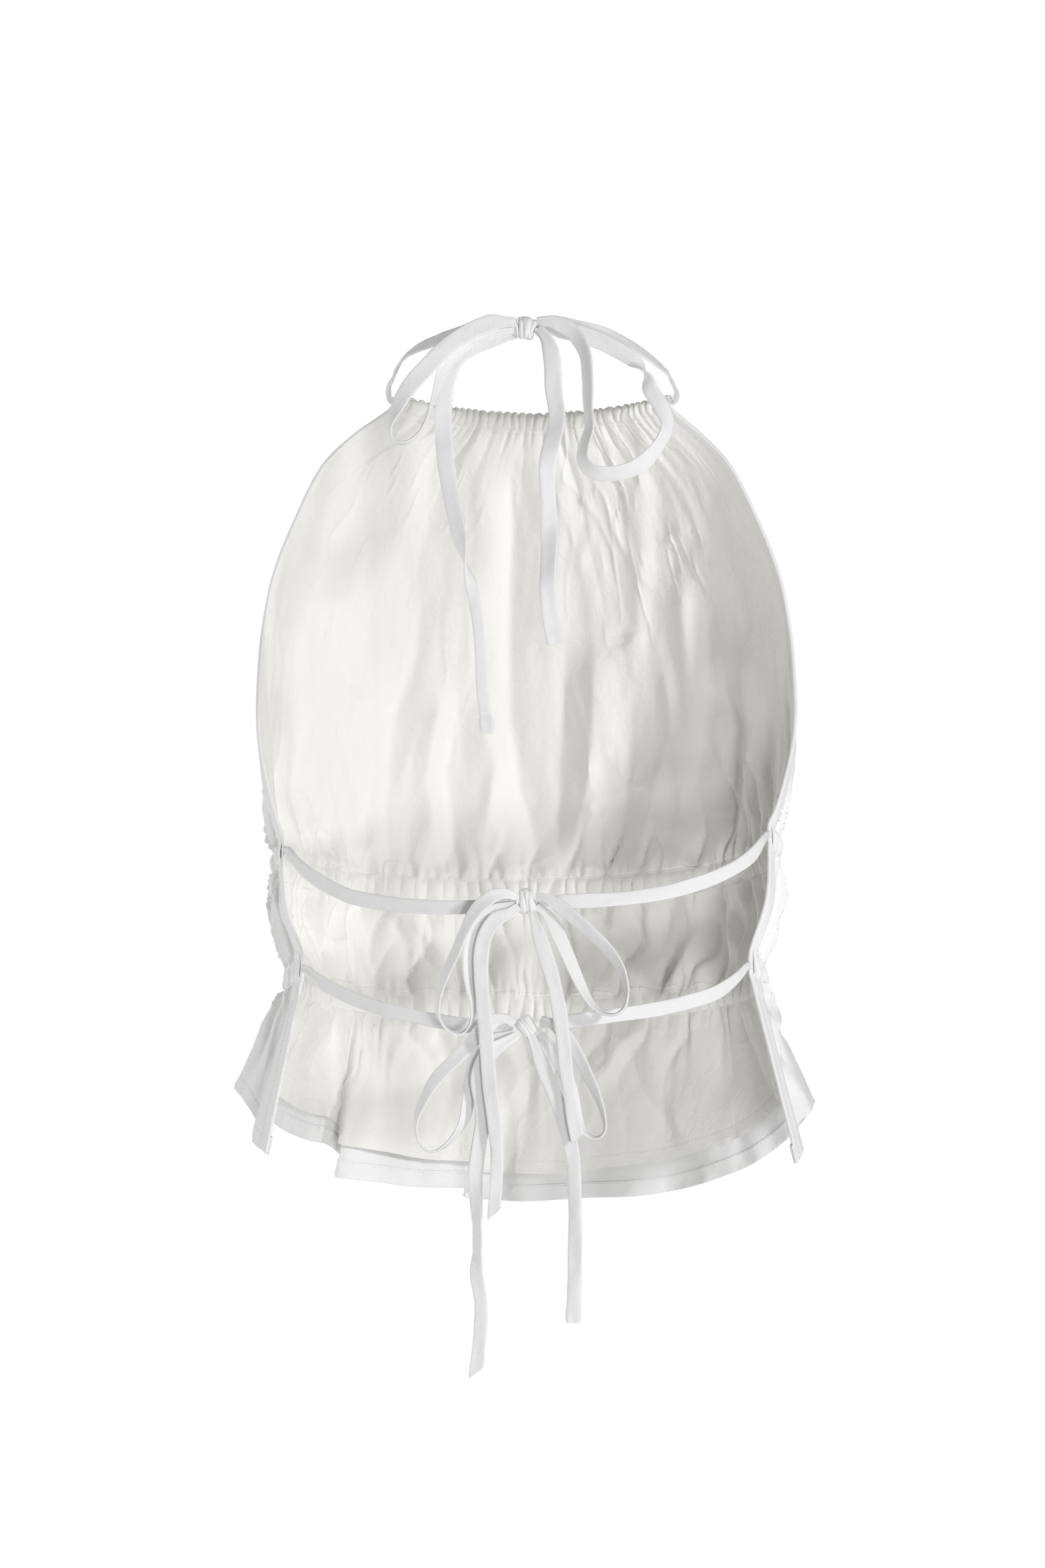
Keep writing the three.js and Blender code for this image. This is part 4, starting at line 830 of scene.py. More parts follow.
def shell_grid(half):
    """Places and turns of the shell: how far each point has gone round the side and the hem turns."""
    at = rows_between_sections(MESH_ROWS[half])
    width = widths_of_rows(at)
    turn_width = np.interp(at, SIDE_TURN["row"], SIDE_TURN["width"])[:, None]
    angles = np.radians(TURN_ANGLES)
    beside = np.concatenate([-TURN_RADIUS * np.sin(angles), SHELL_EDGE_STEPS])
    distances = np.hstack([turn_width * np.array(TURNED_PARTS), np.repeat(beside[None, :], len(at), axis=0)])
    count = SHELL_COLUMNS[half]
    side_turn = np.concatenate(
        [np.ones(len(TURNED_PARTS)), (1 - np.cos(angles)) / 2, np.zeros(len(SHELL_EDGE_STEPS))]
    )
    across = columns_between_edges(distances, width, count)
    side_turn = np.concatenate([side_turn, np.zeros(count - 1), side_turn[::-1]])[None, :]
    at_grid = np.repeat(at[:, None], across.shape[1], axis=1)
    if half == "upper":
        return across, at_grid, width, side_turn, np.zeros((len(at), 1))

    hem_length = np.linalg.norm(hem_point(across[-1]) - section_point(across[-1], LAST_SECTION), axis=-1)
    angles = np.radians(HEM_ANGLES)
    below = np.concatenate([HEM_RADIUS * np.sin(angles), HEM_TURN_STEPS])
    hem_turn = [np.zeros(len(at)), (1 - np.cos(angles)) / 2, np.ones(len(HEM_TURN_STEPS))]
    hem_turn = np.concatenate(hem_turn)[:, None]
    at_grid = np.vstack([at_grid, HEM_ROW + below[:, None] / hem_length[None, :]])
    across = np.vstack([across, np.repeat(across[-1:], len(below), axis=0)])
    width = np.concatenate([width, np.repeat(width[-1:], len(below))])
    return across, at_grid, width, side_turn, hem_turn


def build_shell(half, material):
    across, at, width, side_turn, hem_turn = shell_grid(half)
    points, normals, height = panel_frame(across, at)
    folds = fold_offset(np.clip(across, -1, 1), points, height, width)
    layer = layer_offset(across, height, 1)
    layer = layer - side_turn * (layer + 1.25) - hem_turn * (layer + 0.1) * (1 - side_turn)
    layer = layer - 0.8 * hem_turn * side_turn
    layer -= GROOVE_DEPTH * stitch_groove(across, at, height, width) * (1 - side_turn)
    points = points + normals * (folds + layer)[..., None]
    raise_top_edge(points, across, height)
    uv = cloth_places(across, height, width)
    shell = closed_cloth("front_shell_" + half, points, uv, SHELL_CLOTH / MM, True, material)
    stitching = edge_stitching(points, across, width, True)
    if half == "lower":
        on_panel = (hem_turn[:, 0] < 0.01).nonzero()[0]
        stitching.append(hem_stitching(points[on_panel], height[on_panel], HEM_STITCH_HEIGHT, True))
        on_turn = (hem_turn[:, 0] > 0.99).nonzero()[0]
        stitching.append(turned_stitching(points[on_turn]))
    return shell, stitching


def lining_grid(half):
    at = rows_between_sections(MESH_ROWS[half])
    width = widths_of_rows(at)
    turn_width = np.interp(at, SIDE_TURN["row"], SIDE_TURN["width"])[:, None]
    distances = 0.55 * turn_width + np.array(LINING_EDGE_STEPS)
    across = columns_between_edges(distances, width, LINING_COLUMNS[half])
    hem_part = LINING_PART_FRONT + (LINING_PART_SIDE - LINING_PART_FRONT) * np.abs(across)
    peplum = np.maximum(at[:, None] - LAST_SECTION, 0)
    at_grid = np.minimum(at[:, None], LAST_SECTION) + peplum * hem_part
    return across, at_grid, width


def lining_hang(across, at, height):
    """The lining's peplum hangs a little free of the shell's, towards the inside."""
    hanging = smoothstep(at, LAST_SECTION, HEM_ROW - 0.2) * smoothstep(1 - np.abs(across), 0, 0.12)
    return -LINING_HANG * hanging * (1.1 + noise(across * 7, height / 60, 71))


def build_lining(half, material):
    across, at, width = lining_grid(half)
    points, normals, height = panel_frame(across, at)
    folds = fold_offset(across, points, height, width)
    layer = layer_offset(across, height, -1) + lining_hang(across, at, height)
    layer += GROOVE_DEPTH * stitch_groove(across, at, height, width)
    points = points + normals * (folds + layer)[..., None]
    raise_top_edge(points, across, height)
    uv = cloth_places(across, height, width)
    lining = closed_cloth("front_lining_" + half, points, uv, LINING_CLOTH / MM, False, material)
    stitching = edge_stitching(points, across, width, False)
    if half == "lower":
        stitching.append(hem_stitching(points, height, LINING_HEM_STITCH_HEIGHT, False))
    return lining, stitching


def edge_stitching(points, across, width, outwards):
    """The topstitched lines along both side edges of a layer, and the cloth's directions there."""
    normals = grid_normals(points) * (1 if outwards else -1)
    from_edge = (1 - np.abs(across)) / 2 * width[:, None]
    half = across.shape[1] // 2
    lines = []
    for columns in (slice(half, None), slice(half, 0, -1)):
        column = row_where(from_edge[:, columns].T, TOPSTITCH_FROM_EDGE)
        line = between_rows(points[:, columns].swapaxes(0, 1), column)
        normal = between_rows(normals[:, columns].swapaxes(0, 1), column)
        lines.append((line, normal))
    return lines


def hem_stitching(points, height, above, outwards):
    normals = grid_normals(points) * (1 if outwards else -1)
    row = row_where(height[-1] - height, above)
    return between_rows(points, row)[8:-8], between_rows(normals, row)[8:-8]


def turned_stitching(points):
    """The stitches near the upper edge of the turned hem, on the inside."""
    normals = grid_normals(points)
    return points[-3, 30:-30], normals[-3, 30:-30]


def stitch_groove(across, at, height, width):
    """The pressed line under a row of stitches: 1 in its middle and 0 from 1 mm away."""
    from_edge = (1 - np.abs(across)) / 2 * width[:, None]
    groove = np.exp(-(((from_edge - TOPSTITCH_FROM_EDGE) / 0.6) ** 2))
    if at.max() > LAST_SECTION + 0.5:
        bottom_row = np.argmax(height, axis=0)
        bottom = height[bottom_row, np.arange(at.shape[1])]
        groove = groove + np.exp(-(((bottom[None, :] - height - HEM_STITCH_HEIGHT) / 0.7) ** 2))
    return np.clip(groove, 0, 1)


def raise_top_edge(points, across, height):
    """The ruffled top edge of the neck casing stands up between its gathers."""
    ruffle = puffs(ruche_phase(across, CASINGS["neck"]), 0.7)
    inside = smoothstep(1 - np.abs(across), 0.01, 0.06)
    points[..., 2] += TOP_RUFFLE * (ruffle - PUFF_MEAN) * np.exp(-height / 4) * inside


# Casing strips, drawn into ruches over the drawstrings. A strip lies on the lining or on the shell between
# two stitch lines, and its edges reach a little past them.

# Rows of a strip: how far down between the stitch lines, how many millimetres past that, how far it lies off
# the cloth, and how much of the puff it has
STRIP_ROWS = [
    (0, -1.7, -0.25, 0),
    (0, -1.5, 0.25, 0),
    (0, -0.8, 0.38, 0.06),
    (0, 0, 0.14, 0.04),
    (0.1, 0, 0.3, 0.5),
    (0.24, 0, 0.3, 0.82),
    (0.4, 0, 0.3, 1),
    (0.6, 0, 0.3, 1),
    (0.76, 0, 0.3, 0.82),
    (0.9, 0, 0.3, 0.5),
    (1, 0, 0.14, 0.04),
    (1, 0.8, 0.38, 0.06),
    (1, 1.5, 0.25, 0),
    (1, 1.7, -0.25, 0),
]
STITCH_ROW_ABOVE = 3
STITCH_ROW_BELOW = 10
STRIP_INSET = {1: 2.0, -1: 4.4}


def build_strip(name, casing, side, material):
    """One face of a casing: side is 1 on the shell and -1 on the lining."""
    values = CASINGS[casing]
    part, past, lift, arch = np.array(STRIP_ROWS).T
    at = values["top"] + part + past / values["height"]
    part, lift, arch = part[:, None], lift[:, None], arch[:, None]
    if casing == "neck":
        at = np.maximum(at, 0.02 * np.arange(len(at)) / len(at))
    width = widths_of_rows(np.clip(at, 0, LAST_SECTION))
    inset = STRIP_INSET[side]
    distances = np.repeat(np.array([[inset, inset + 0.4]]), len(at), axis=0)
    across = columns_between_edges(distances, width, values["columns"])
    at_grid = np.repeat(at[:, None], across.shape[1], axis=1)
    points, normals, height = panel_frame(across, at_grid)
    folds = fold_offset(across, points, height, width)
    hold = layer_offset(across, height, side)
    phase = ruche_phase(across, values)
    lean = 0.3 * noise(phase / 1.3, 3, values["seed"] + 1)
    leaning = phase + lean * (part - 0.5) * 2
    ruffle = puffs(leaning, 0.52)
    size = 0.78 + 0.3 * noise(leaning, 1, values["seed"] + 2)
    free = smoothstep((1 - np.abs(across)) / 2 * width[:, None], 3, 12)
    puff = values["puff"] * arch * (0.15 + 0.85 * ruffle * size) * (0.35 + 0.65 * free)
    flat_lift = np.where(arch > 0.3, lift * (0.4 + 0.6 * ruffle), lift)
    points = points + normals * (folds + hold + side * (flat_lift + puff))[..., None]
    if casing == "neck":
        raise_top_edge(points, across, height)
    uv = cloth_places(across, height, width)
    thickness = SHELL_CLOTH / MM if side == 1 else LINING_CLOTH / MM
    strip = closed_cloth(name, points, uv, thickness * 0.8, side == 1, material)
    normals = grid_normals(points) * side
    rows = (STITCH_ROW_BELOW,) if casing == "neck" else (STITCH_ROW_ABOVE, STITCH_ROW_BELOW)
    stitching = [(points[row, 6:-6], normals[row, 6:-6]) for row in rows]
    return strip, stitching

# Drawstrings: flat pressed tubes of bias-cut twill

RING_CORNERS = 20
RING_ANGLES = np.arange(RING_CORNERS) / RING_CORNERS * 2 * math.pi
PINCHES = {
    "mouth": {"narrow": 0.42, "from": 0.006, "to": 0.05},
    "knot": {"narrow": 0.62, "from": 0.003, "to": 0.017},
}
# Free ends: how much the last part narrows, how long the folded end is, how much wider and thicker the fold
# makes it, and how far the end slants
FREE_ENDS = {
    "nub": {"narrow": 0.3, "fold": 0.0085, "wider": 0.3, "thicker": 1.1, "slant": 0.15},
    "square": {"narrow": 0.02, "fold": 0.0075, "wider": 0.06, "thicker": 0.6, "slant": 0.05},
    "slanted": {"narrow": 0.1, "fold": 0, "wider": 0, "thicker": 0, "slant": 0.85},
    "frayed": {"narrow": 0.04, "fold": 0, "wider": 0.08, "thicker": 0, "slant": 0.4},
}
FRAY_THREADS = 9


def turned(vectors, axes, degrees):
    """Vectors turned about their axes by degrees, row by row."""
    cosine, sine = np.cos(np.radians(degrees))[:, None], np.sin(np.radians(degrees))[:, None]
    along = (vectors * axes).sum(axis=1, keepdims=True)
    return vectors * cosine + np.cross(axes, vectors) * sine + axes * along * (1 - cosine)


def signed_power(values, power):
    return np.sign(values) * np.abs(values) ** power


def tube_faces(first, rings, sides):
    """The sides of a tube whose corners start at a number and go round ring by ring."""
    faces = []
    for start in range(first, first + (rings - 1) * sides, sides):
        for corner in range(sides):
            after = (corner + 1) % sides
            faces.append((start + corner, start + sides + corner, start + sides + after, start + after))
    return faces


def tie_frames(route, face_start, seed):
    """Ring centres along a route, a step apart, with the band's directions across and through."""
    route = np.array(route, float)
    curve, numbers = centripetal(route[:, :3], 40)
    lengths = lengths_along(curve)
    count = int(math.ceil(lengths[-1] / TIE_RING_STEP))
    along = np.linspace(0, lengths[-1], count + 1)
    centres = points_along(along, lengths, curve)
    number = np.interp(along, lengths, numbers)
    turns = np.interp(number, np.arange(len(route)), route[:, 3]) + 7 * noise(along / 0.028, 1, seed)
    tangents = np.gradient(centres, axis=0)
    tangents /= np.linalg.norm(tangents, axis=1, keepdims=True)
    part = (along / lengths[-1])[:, None]
    face = np.array(face_start) * (1 - part) + np.array(BACK) * part
    across = np.cross(tangents, face)
    across /= np.linalg.norm(across, axis=1, keepdims=True)
    across = turned(across, tangents, turns)
    through = np.cross(across, tangents)
    return centres, tangents, across, through, along


def band_sizes(start, end, along):
    """The band's width and thickness along it, as parts of their full sizes, and how gathered it is."""
    gathered = np.zeros(len(along))
    for kind, distance in ((start, along), (end, along[-1] - along)):
        if kind in PINCHES:
            pinch = PINCHES[kind]
            near = 1 - smoothstep(distance, pinch["from"], pinch["to"])
            gathered = np.maximum(gathered, (1 - pinch["narrow"]) * near)
    width = 1 - gathered
    thickness = 1 + 0.9 * gathered
    if start == "mouth":
        # flat inside the casing, where the two layers press on it
        thickness *= 0.42 + 0.58 * smoothstep(along, 0.007, 0.014)
    if end in FREE_ENDS:
        free = FREE_ENDS[end]
        distance = along[-1] - along
        width *= 1 - free["narrow"] * smoothstep(along / along[-1], 0.45, 0.8)
        folded = 1 - smoothstep(distance, free["fold"] - 0.0008, free["fold"] + 0.0008)
        width *= 1 + free["wider"] * folded
        thickness *= 1 + free["thicker"] * folded
    return width, thickness, gathered


def build_tie(stretch, seed, material):
    route = ROUTES[stretch["name"]]
    centres, tangents, across, through, along = tie_frames(route, stretch["face"], seed)
    width, thickness, gathered = band_sizes(stretch["start"], stretch["end"], along)
    half_width = stretch["width"] / 2 * width * (1 + 0.05 * noise(along / 0.012, 0, seed))
    half_thick = TIE_THICKNESS / 2 * thickness

    sideways = signed_power(np.cos(RING_ANGLES), 0.75)
    outwards = signed_power(np.sin(RING_ANGLES), 0.6)
    # soft creases where the band is drawn together, and a shallow hollow along its middle
    ripple = np.cos(RING_ANGLES * 5 + seed)[None, :] * (0.03 + 0.5 * gathered[:, None])
    hollow = 0.3 * np.exp(-((sideways / 0.5) ** 2))[None, :]
    wobble = noise(along[:, None] / 0.006, sideways[None, :] * 1.4, seed + 1)
    wobble = wobble * (0.16 + 0.35 * gathered[:, None])
    depth = outwards[None, :] * (1 - hollow + ripple) + wobble
    cup = 0.0006 * noise(along / 0.022, 3, seed + 2)[:, None] * sideways[None, :] ** 2

    slant = FREE_ENDS[stretch["end"]]["slant"] if stretch["end"] in FREE_ENDS else 0.0
    near_end = smoothstep(along, along[-1] - 0.006, along[-1])[:, None]
    shear = slant * near_end * half_width[:, None] * sideways[None, :]
    rounding = np.ones(len(along))
    rounding[0] = rounding[-1] = 0.86
    rounding[1] = rounding[-2] = 0.97

    rings = (
        centres[:, None]
        + across[:, None] * (sideways[None, :] * (half_width * rounding)[:, None])[..., None]
        + through[:, None] * (depth * (half_thick * rounding)[:, None] + cup)[..., None]
        + tangents[:, None] * shear[..., None]
    )
    count = len(along)
    corners = rings.reshape(-1, 3).tolist() + [rings[0].mean(axis=0), rings[-1].mean(axis=0)]
    faces = tube_faces(0, count, RING_CORNERS)
    start, end = count * RING_CORNERS, count * RING_CORNERS + 1
    last = (count - 1) * RING_CORNERS
    for corner in range(RING_CORNERS):
        after = (corner + 1) % RING_CORNERS
        faces.append((start, corner, after))
        faces.append((end, last + after, last + corner))
    if stretch["end"] == "frayed":
        for number in range(FRAY_THREADS):
            side = (number - FRAY_THREADS // 2) / 4.6 * half_width[-1]
            root = centres[-3] + across[-3] * side
            tip = centres[-1] + across[-1] * (side * 1.15 + 0.0009 * math.sin(number * 2.3))
            tip = tip + tangents[-1] * (0.0016 + 0.0012 * math.cos(number * 1.7)) + through[-1] * 0.0004
            add_thread([root, (root + tip) / 2 + through[-1] * 0.0005, tip], 0.00014, 5, corners, faces)
    corners = np.array(corners)
    uv_across = np.broadcast_to(sideways * stretch["width"] / MM * 0.5, (count, RING_CORNERS))
    uv_along = np.broadcast_to(along[:, None] / MM, (count, RING_CORNERS))
    uv = np.zeros((len(corners), 2))
    uv[: count * RING_CORNERS] = np.stack([uv_across, uv_along], axis=-1).reshape(-1, 2)
    uv[count * RING_CORNERS :, 1] = along[-1] / MM
    uv[start] = 0
    obj = mesh_object(stretch["name"] + "_band", corners, faces, material, uv)
    return obj, centres, along[-1]


def add_thread(points, radius, sides, corners, faces):
    """A thin thread along a few points, added to lists of corners and faces."""
    points = np.asarray(points, float)
    tangents = np.gradient(points, axis=0)
    tangents /= np.linalg.norm(tangents, axis=1, keepdims=True)
    side = np.cross(tangents, np.array([0.3, 0.9, 0.2]))
    side /= np.linalg.norm(side, axis=1, keepdims=True)
    up = np.cross(side, tangents)
    angles = np.arange(sides) / sides * 2 * math.pi
    reach = np.full(len(points), radius)
    reach[0] = reach[-1] = radius * 0.55
    ring = np.cos(angles)[None, :, None] * side[:, None] + np.sin(angles)[None, :, None] * up[:, None]
    rings = points[:, None] + reach[:, None, None] * ring
    first = len(corners)
    corners.extend(rings.reshape(-1, 3))
    faces.extend(tube_faces(first, len(points), sides))
    faces.append(tuple(first + corner for corner in range(sides)))
    last = first + (len(points) - 1) * sides
    faces.append(tuple(last + corner for corner in reversed(range(sides))))


# Knots

KNOT_AROUND = 80
KNOT_ACROSS = 40
KNOT_SQUARENESS = 0.8


def build_knot(knot, seed, material):
    """The flat band wrapped once over a knot, a little waisted in front, with one edge lying over."""
    half_x, half_y, half_z = knot["half"]
    round_angle = np.arange(KNOT_AROUND) / KNOT_AROUND * 2 * math.pi
    side = np.linspace(-1, 1, KNOT_ACROSS)
    angle, across = np.meshgrid(round_angle, side, indexing="ij")
    profile = 0.8 + 0.2 * (1 - np.abs(across) ** 4)
    profile[:, 0] = profile[:, -1] = 0.3
    crease = np.zeros_like(across)
    for place, lean, depth, width in ((-0.42, 0.26, 0.0005, 0.13), (0.34, -0.22, 0.0004, 0.16)):
        line = place + lean * np.sin(angle + seed)
        crease -= depth * np.exp(-(((across - line) / width) ** 2))
    edge = 0.55 + 0.3 * np.sin(angle + 0.8 * seed)
    crease += 0.0006 * smoothstep(edge - across, -0.02, 0.06) - 0.0002
    crease += 0.00022 * noise(angle * 1.8, across * 2.5, seed)
    reach_y = (half_y + crease) * profile
    reach_z = (half_z + crease) * profile
    y = signed_power(np.cos(angle), KNOT_SQUARENESS) * reach_y
    z = signed_power(np.sin(angle), KNOT_SQUARENESS) * reach_z
    x = across * half_x * (1 + knot["taper"] * np.sin(angle) - 0.1 * np.cos(angle) ** 2)
    tilt = math.radians(knot["tilt"])
    turned_x = x * math.cos(tilt) + z * math.sin(tilt)
    turned_z = -x * math.sin(tilt) + z * math.cos(tilt)
    grid = np.stack([turned_x, y, turned_z], axis=-1) + np.array(knot["centre"])
    corners = np.vstack([grid.reshape(-1, 3), grid[:, 0].mean(axis=0), grid[:, -1].mean(axis=0)])
    faces = []
    first, last = KNOT_AROUND * KNOT_ACROSS, KNOT_AROUND * KNOT_ACROSS + 1
    end = KNOT_ACROSS - 1
    for row in range(KNOT_AROUND):
        after = (row + 1) % KNOT_AROUND
        for column in range(end):
            a, b = row * KNOT_ACROSS + column, after * KNOT_ACROSS + column
            faces.append((a, b, b + 1, a + 1))
        faces.append((first, after * KNOT_ACROSS, row * KNOT_ACROSS))
        faces.append((last, row * KNOT_ACROSS + end, after * KNOT_ACROSS + end))
    uv_grid = np.stack([across * half_x / MM, angle * half_z / MM], axis=-1).reshape(-1, 2)
    uv = np.vstack([uv_grid, [0, 0], [0, 0]])
    return mesh_object(knot["name"] + "_wrap", corners, faces, material, uv)


# Stitches: short threads that lie on the cloth along a line, end to end with small gaps, in millimetres

STITCH_SIDES = 5
STITCH_PITCH = 3.0
STITCH_LENGTH = 2.2
THREAD_RADIUS = 0.2
STITCH_PLACES = np.array([0, 0.2, 0.5, 0.8, 1.0])
STITCH_LIFTS = np.array([-0.18, 0.05, 0.1, 0.05, -0.18])


def between_rows(values, rows):
    """Values at a fractional row for each column."""
    low = np.clip(np.floor(rows).astype(int), 0, values.shape[0] - 2)
    part = (rows - low)[:, None]
    columns = np.arange(values.shape[1])
    return values[low, columns] * (1 - part) + values[low + 1, columns] * part


def row_where(distance, wanted):
    """For each column, the fractional row where a distance that shrinks down the rows reaches a value."""
    rows = np.arange(distance.shape[0])
    return np.array([np.interp(-wanted, -distance[:, column], rows) for column in range(distance.shape[1])])


def build_stitches(name, lines, material):
    """Stitches along lines on the cloth; each line is its points and the cloth's directions there, in mm."""
    corners, faces = [], []
    for line, normals in lines:
        lengths = lengths_along(line)
        for start in np.arange(1.0, lengths[-1] - STITCH_PITCH, STITCH_PITCH):
            at = start + STITCH_LENGTH * STITCH_PLACES
            points = points_along(at, lengths, line)
            points = points + points_along(at, lengths, normals) * STITCH_LIFTS[:, None]
            add_thread(points * MM, THREAD_RADIUS * MM, STITCH_SIDES, corners, faces)
    return mesh_object(name, np.array(corners), faces, material)

# Cloth materials


def new_material(name, colour, roughness, sheen):
    material = bpy.data.materials.new(name)
    material.use_nodes = True
    shader = material.node_tree.nodes["Principled BSDF"]
    shader.inputs["Base Color"].default_value = (*colour, 1)
    shader.inputs["Roughness"].default_value = roughness
    shader.inputs["Specular IOR Level"].default_value = 0.25
    shader.inputs["Sheen Weight"].default_value = sheen
    shader.inputs["Sheen Roughness"].default_value = 0.55
    return material, material.node_tree, shader


def add_node(tree, kind, feeds, **values):
    """A node with the values given, whose inputs are fed by the outputs of other nodes."""
    node = tree.nodes.new(kind)
    for name, value in values.items():
        if hasattr(node, name):
            setattr(node, name, value)
        else:
            node.inputs[name.replace("_", " ")].default_value = value
    for place, output in feeds.items():
        tree.links.new(output, node.inputs[place])
    return node


def add_bumps(tree, shader, bumps):
    """Bumps one upon another, each with its height, strength and distance in metres."""
    feeds = {}
    for height, strength, distance in bumps:
        feeds["Height"] = height
        bump = add_node(tree, "ShaderNodeBump", feeds, Strength=strength, Distance=distance)
        feeds["Normal"] = bump.outputs["Normal"]
    tree.links.new(feeds["Normal"], shader.inputs["Normal"])


def cloth_material(name, colour, shade, wale_period, wale_angle, wale_depth, crumple_depth, roughness, sheen):
    """Woven cotton: wales of the weave, uneven yarns and a fine crumple, over cloth places in millimetres."""
    material, tree, shader = new_material(name, colour, roughness, sheen)
    place = add_node(tree, "ShaderNodeUVMap", {}, uv_map="cloth").outputs["UV"]

    slanted = add_node(
        tree, "ShaderNodeMapping", {"Vector": place}, Rotation=(0, 0, math.radians(wale_angle))
    )
    wales = add_node(
        tree,
        "ShaderNodeTexWave",
        {"Vector": slanted.outputs["Vector"]},
        Scale=math.pi / 10 / wale_period,
        Distortion=0.7,
        Detail=2.0,
        Detail_Scale=1.6,
    ).outputs["Fac"]

    stretched = add_node(tree, "ShaderNodeMapping", {"Vector": place}, Scale=(2.6, 0.22, 1))
    yarns = add_node(
        tree,
        "ShaderNodeTexNoise",
        {"Vector": stretched.outputs["Vector"]},
        Scale=0.9,
        Detail=3.0,
        Roughness=0.6,
    ).outputs["Fac"]

    crumple = add_node(
        tree,
        "ShaderNodeTexNoise",
        {"Vector": place},
        Scale=0.16,
        Detail=4.0,
        Roughness=0.55,
        Distortion=0.4,
    ).outputs["Fac"]

    tone_amount = add_node(tree, "ShaderNodeMath", {0: wales, 1: yarns}, operation="MULTIPLY")
    tone = add_node(
        tree,
        "ShaderNodeMix",
        {"Factor": tone_amount.outputs["Value"]},
        data_type="RGBA",
        A=(*colour, 1),
        B=(*shade, 1),
    )
    tree.links.new(tone.outputs["Result"], shader.inputs["Base Color"])
    bumps = [(wales, wale_depth, 0.00012), (yarns, 0.12, 0.0001), (crumple, crumple_depth, 0.001)]
    add_bumps(tree, shader, bumps)
    return material


SHELL_MATERIAL = cloth_material(
    "shell_twill",
    colour=(0.885, 0.885, 0.882),
    shade=(0.80, 0.80, 0.80),
    wale_period=0.95,
    wale_angle=52,
    wale_depth=0.5,
    crumple_depth=0.35,
    roughness=0.86,
    sheen=0.12,
)
LINING_MATERIAL = cloth_material(
    "lining_poplin",
    colour=(0.89, 0.88, 0.855),
    shade=(0.845, 0.835, 0.805),
    wale_period=0.42,
    wale_angle=0,
    wale_depth=0.3,
    crumple_depth=0.6,
    roughness=0.82,
    sheen=0.1,
)
TIE_MATERIAL = cloth_material(
    "tie_twill",
    colour=(0.85, 0.85, 0.85),
    shade=(0.76, 0.76, 0.765),
    wale_period=0.9,
    wale_angle=48,
    wale_depth=0.6,
    crumple_depth=0.35,
    roughness=0.84,
    sheen=0.12,
)
THREAD_MATERIAL, thread_tree, thread_shader = new_material("sewing_thread", (0.86, 0.86, 0.87), 0.6, 0.2)
thread_place = add_node(thread_tree, "ShaderNodeTexCoord", {}).outputs["Object"]
thread_twist = add_node(
    thread_tree, "ShaderNodeTexNoise", {"Vector": thread_place}, Scale=5200.0, Detail=1.0
)
add_bumps(thread_tree, thread_shader, [(thread_twist.outputs["Fac"], 0.4, 0.00005)])

# Camera

camera = bpy.data.cameras.new("photo_view")
camera.sensor_width = SENSOR
camera.lens = SENSOR * AXIS_DISTANCE / PICTURE_HEIGHT_AT_AXIS
camera.clip_end = 60
camera_object = bpy.data.objects.new("photo_view", camera)
camera_object.location = CAMERA_PLACE
camera_object.rotation_euler = (math.pi / 2, 0, 0)
bpy.context.scene.collection.objects.link(camera_object)
bpy.context.scene.camera = camera_object

# Ties and knots

for seed, stretch in enumerate(STRETCHES):
    tie, centres, length = build_tie(stretch, 400 + 7 * seed, TIE_MATERIAL)
    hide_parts(stretch["name"])

for seed, knot in enumerate(KNOTS):
    wrap = build_knot(knot, 3 + seed, TIE_MATERIAL)
    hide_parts(knot["name"])

# Panel


def state_layer(layer):
    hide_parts(layer)


stitching = {}
for half, shell_length, shell_area, lining_length, lining_area in PANEL_HALVES:
    shell, stitching["shell_" + half] = build_shell(half, SHELL_MATERIAL)
    state_layer("front_shell")
    lining, stitching["lining_" + half] = build_lining(half, LINING_MATERIAL)
    state_layer("front_lining")

# The two faces of each casing
STRIP_SIDES = [
    ("_casing_outside", 1, SHELL_MATERIAL, "shell_cloth"),
    ("_casing_inside", -1, LINING_MATERIAL, "lining_cloth"),
]
for casing in CASINGS:
    for ending, side, material, slot in STRIP_SIDES:
        strip, stitching[casing + ending] = build_strip(casing + ending, casing, side, material)

for place, lines in stitching.items():
    build_stitches("stitches_" + place, lines, THREAD_MATERIAL)

# Studio: a pale floor far below, a white backdrop, a faint warm light all round, and square lights that look
# at the middle of the top: the main one at the camera's right, one low behind the camera, and weaker ones at
# the left side and in front

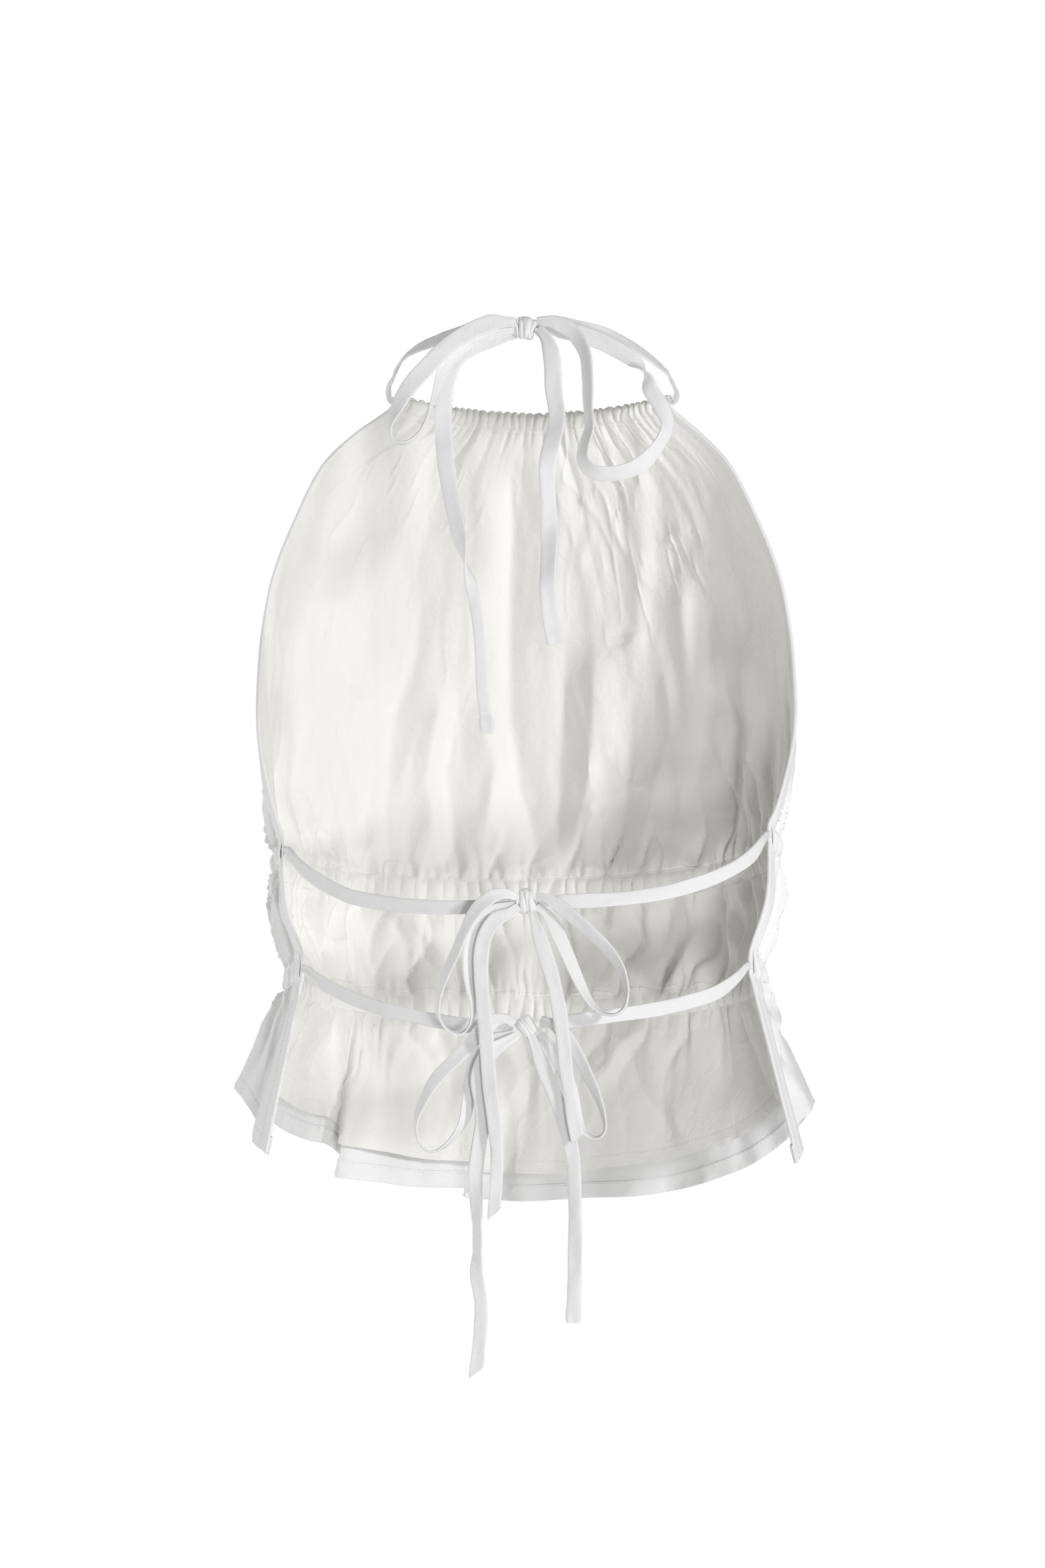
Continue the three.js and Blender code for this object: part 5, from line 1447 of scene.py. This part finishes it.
COOL = (0.985, 0.99, 1.0)
WARM = (1.0, 0.985, 0.945)
LIGHT_TARGET = (0, 0.1, -0.25)
AMBIENT_STRENGTH = 0.2
FLOOR_HEIGHT = -1.45
FLOOR_RADIUS = 3.4
FLOOR_CORNERS = 96
LIGHT_COLUMNS = ("name", "place", "size", "power")
LIGHT_ROWS = [
    ("key", (2.25, -2.0, 0.6), 0.4, 44),
    ("low", (0.7, -2.65, -0.75), 0.5, 26),
    ("left side", (-2.6, 0.45, 0.2), 1.2, 38),
    ("front", (0.9, 3.0, 0.7), 1.5, 18),
]
LIGHTS = [dict(zip(LIGHT_COLUMNS, row)) for row in LIGHT_ROWS]

for values in LIGHTS:
    light = bpy.data.lights.new(values["name"], "AREA")
    light.color = COOL
    light.shape = "SQUARE"
    light.size = values["size"]
    light.energy = values["power"]
    light_object = bpy.data.objects.new(values["name"], light)
    light_object.location = values["place"]
    direction = Vector(LIGHT_TARGET) - Vector(values["place"])
    light_object.rotation_euler = direction.to_track_quat("-Z", "Y").to_euler()
    bpy.context.scene.collection.objects.link(light_object)

world = bpy.data.worlds.new("studio")
world.use_nodes = True
bpy.context.scene.world = world
world_tree = world.node_tree
ambient = world_tree.nodes["Background"]
ambient.inputs["Color"].default_value = (*WARM, 1)
ambient.inputs["Strength"].default_value = AMBIENT_STRENGTH
backdrop = add_node(world_tree, "ShaderNodeBackground", {}, Color=(1, 1, 1, 1), Strength=1.0)
ray = add_node(world_tree, "ShaderNodeLightPath", {})
backgrounds = {
    "Fac": ray.outputs["Is Camera Ray"],
    1: ambient.outputs["Background"],
    2: backdrop.outputs["Background"],
}
choice = add_node(world_tree, "ShaderNodeMixShader", backgrounds)
world_tree.links.new(choice.outputs["Shader"], world_tree.nodes["World Output"].inputs["Surface"])

bpy.context.scene.view_settings.view_transform = "Standard"

floor_mesh = bpy.data.meshes.new("floor")
floor_rim = []
for angle in np.arange(FLOOR_CORNERS) / FLOOR_CORNERS * 2 * math.pi:
    floor_rim.append((FLOOR_RADIUS * math.cos(angle), 0.1 + FLOOR_RADIUS * math.sin(angle), FLOOR_HEIGHT))
floor_mesh.from_pydata(floor_rim, [], [tuple(range(FLOOR_CORNERS))])
floor = bpy.data.objects.new("floor", floor_mesh)
floor_mesh.materials.append(new_material("pale_floor", (0.9, 0.9, 0.9), 0.9, 0.0)[0])
bpy.context.scene.collection.objects.link(floor)
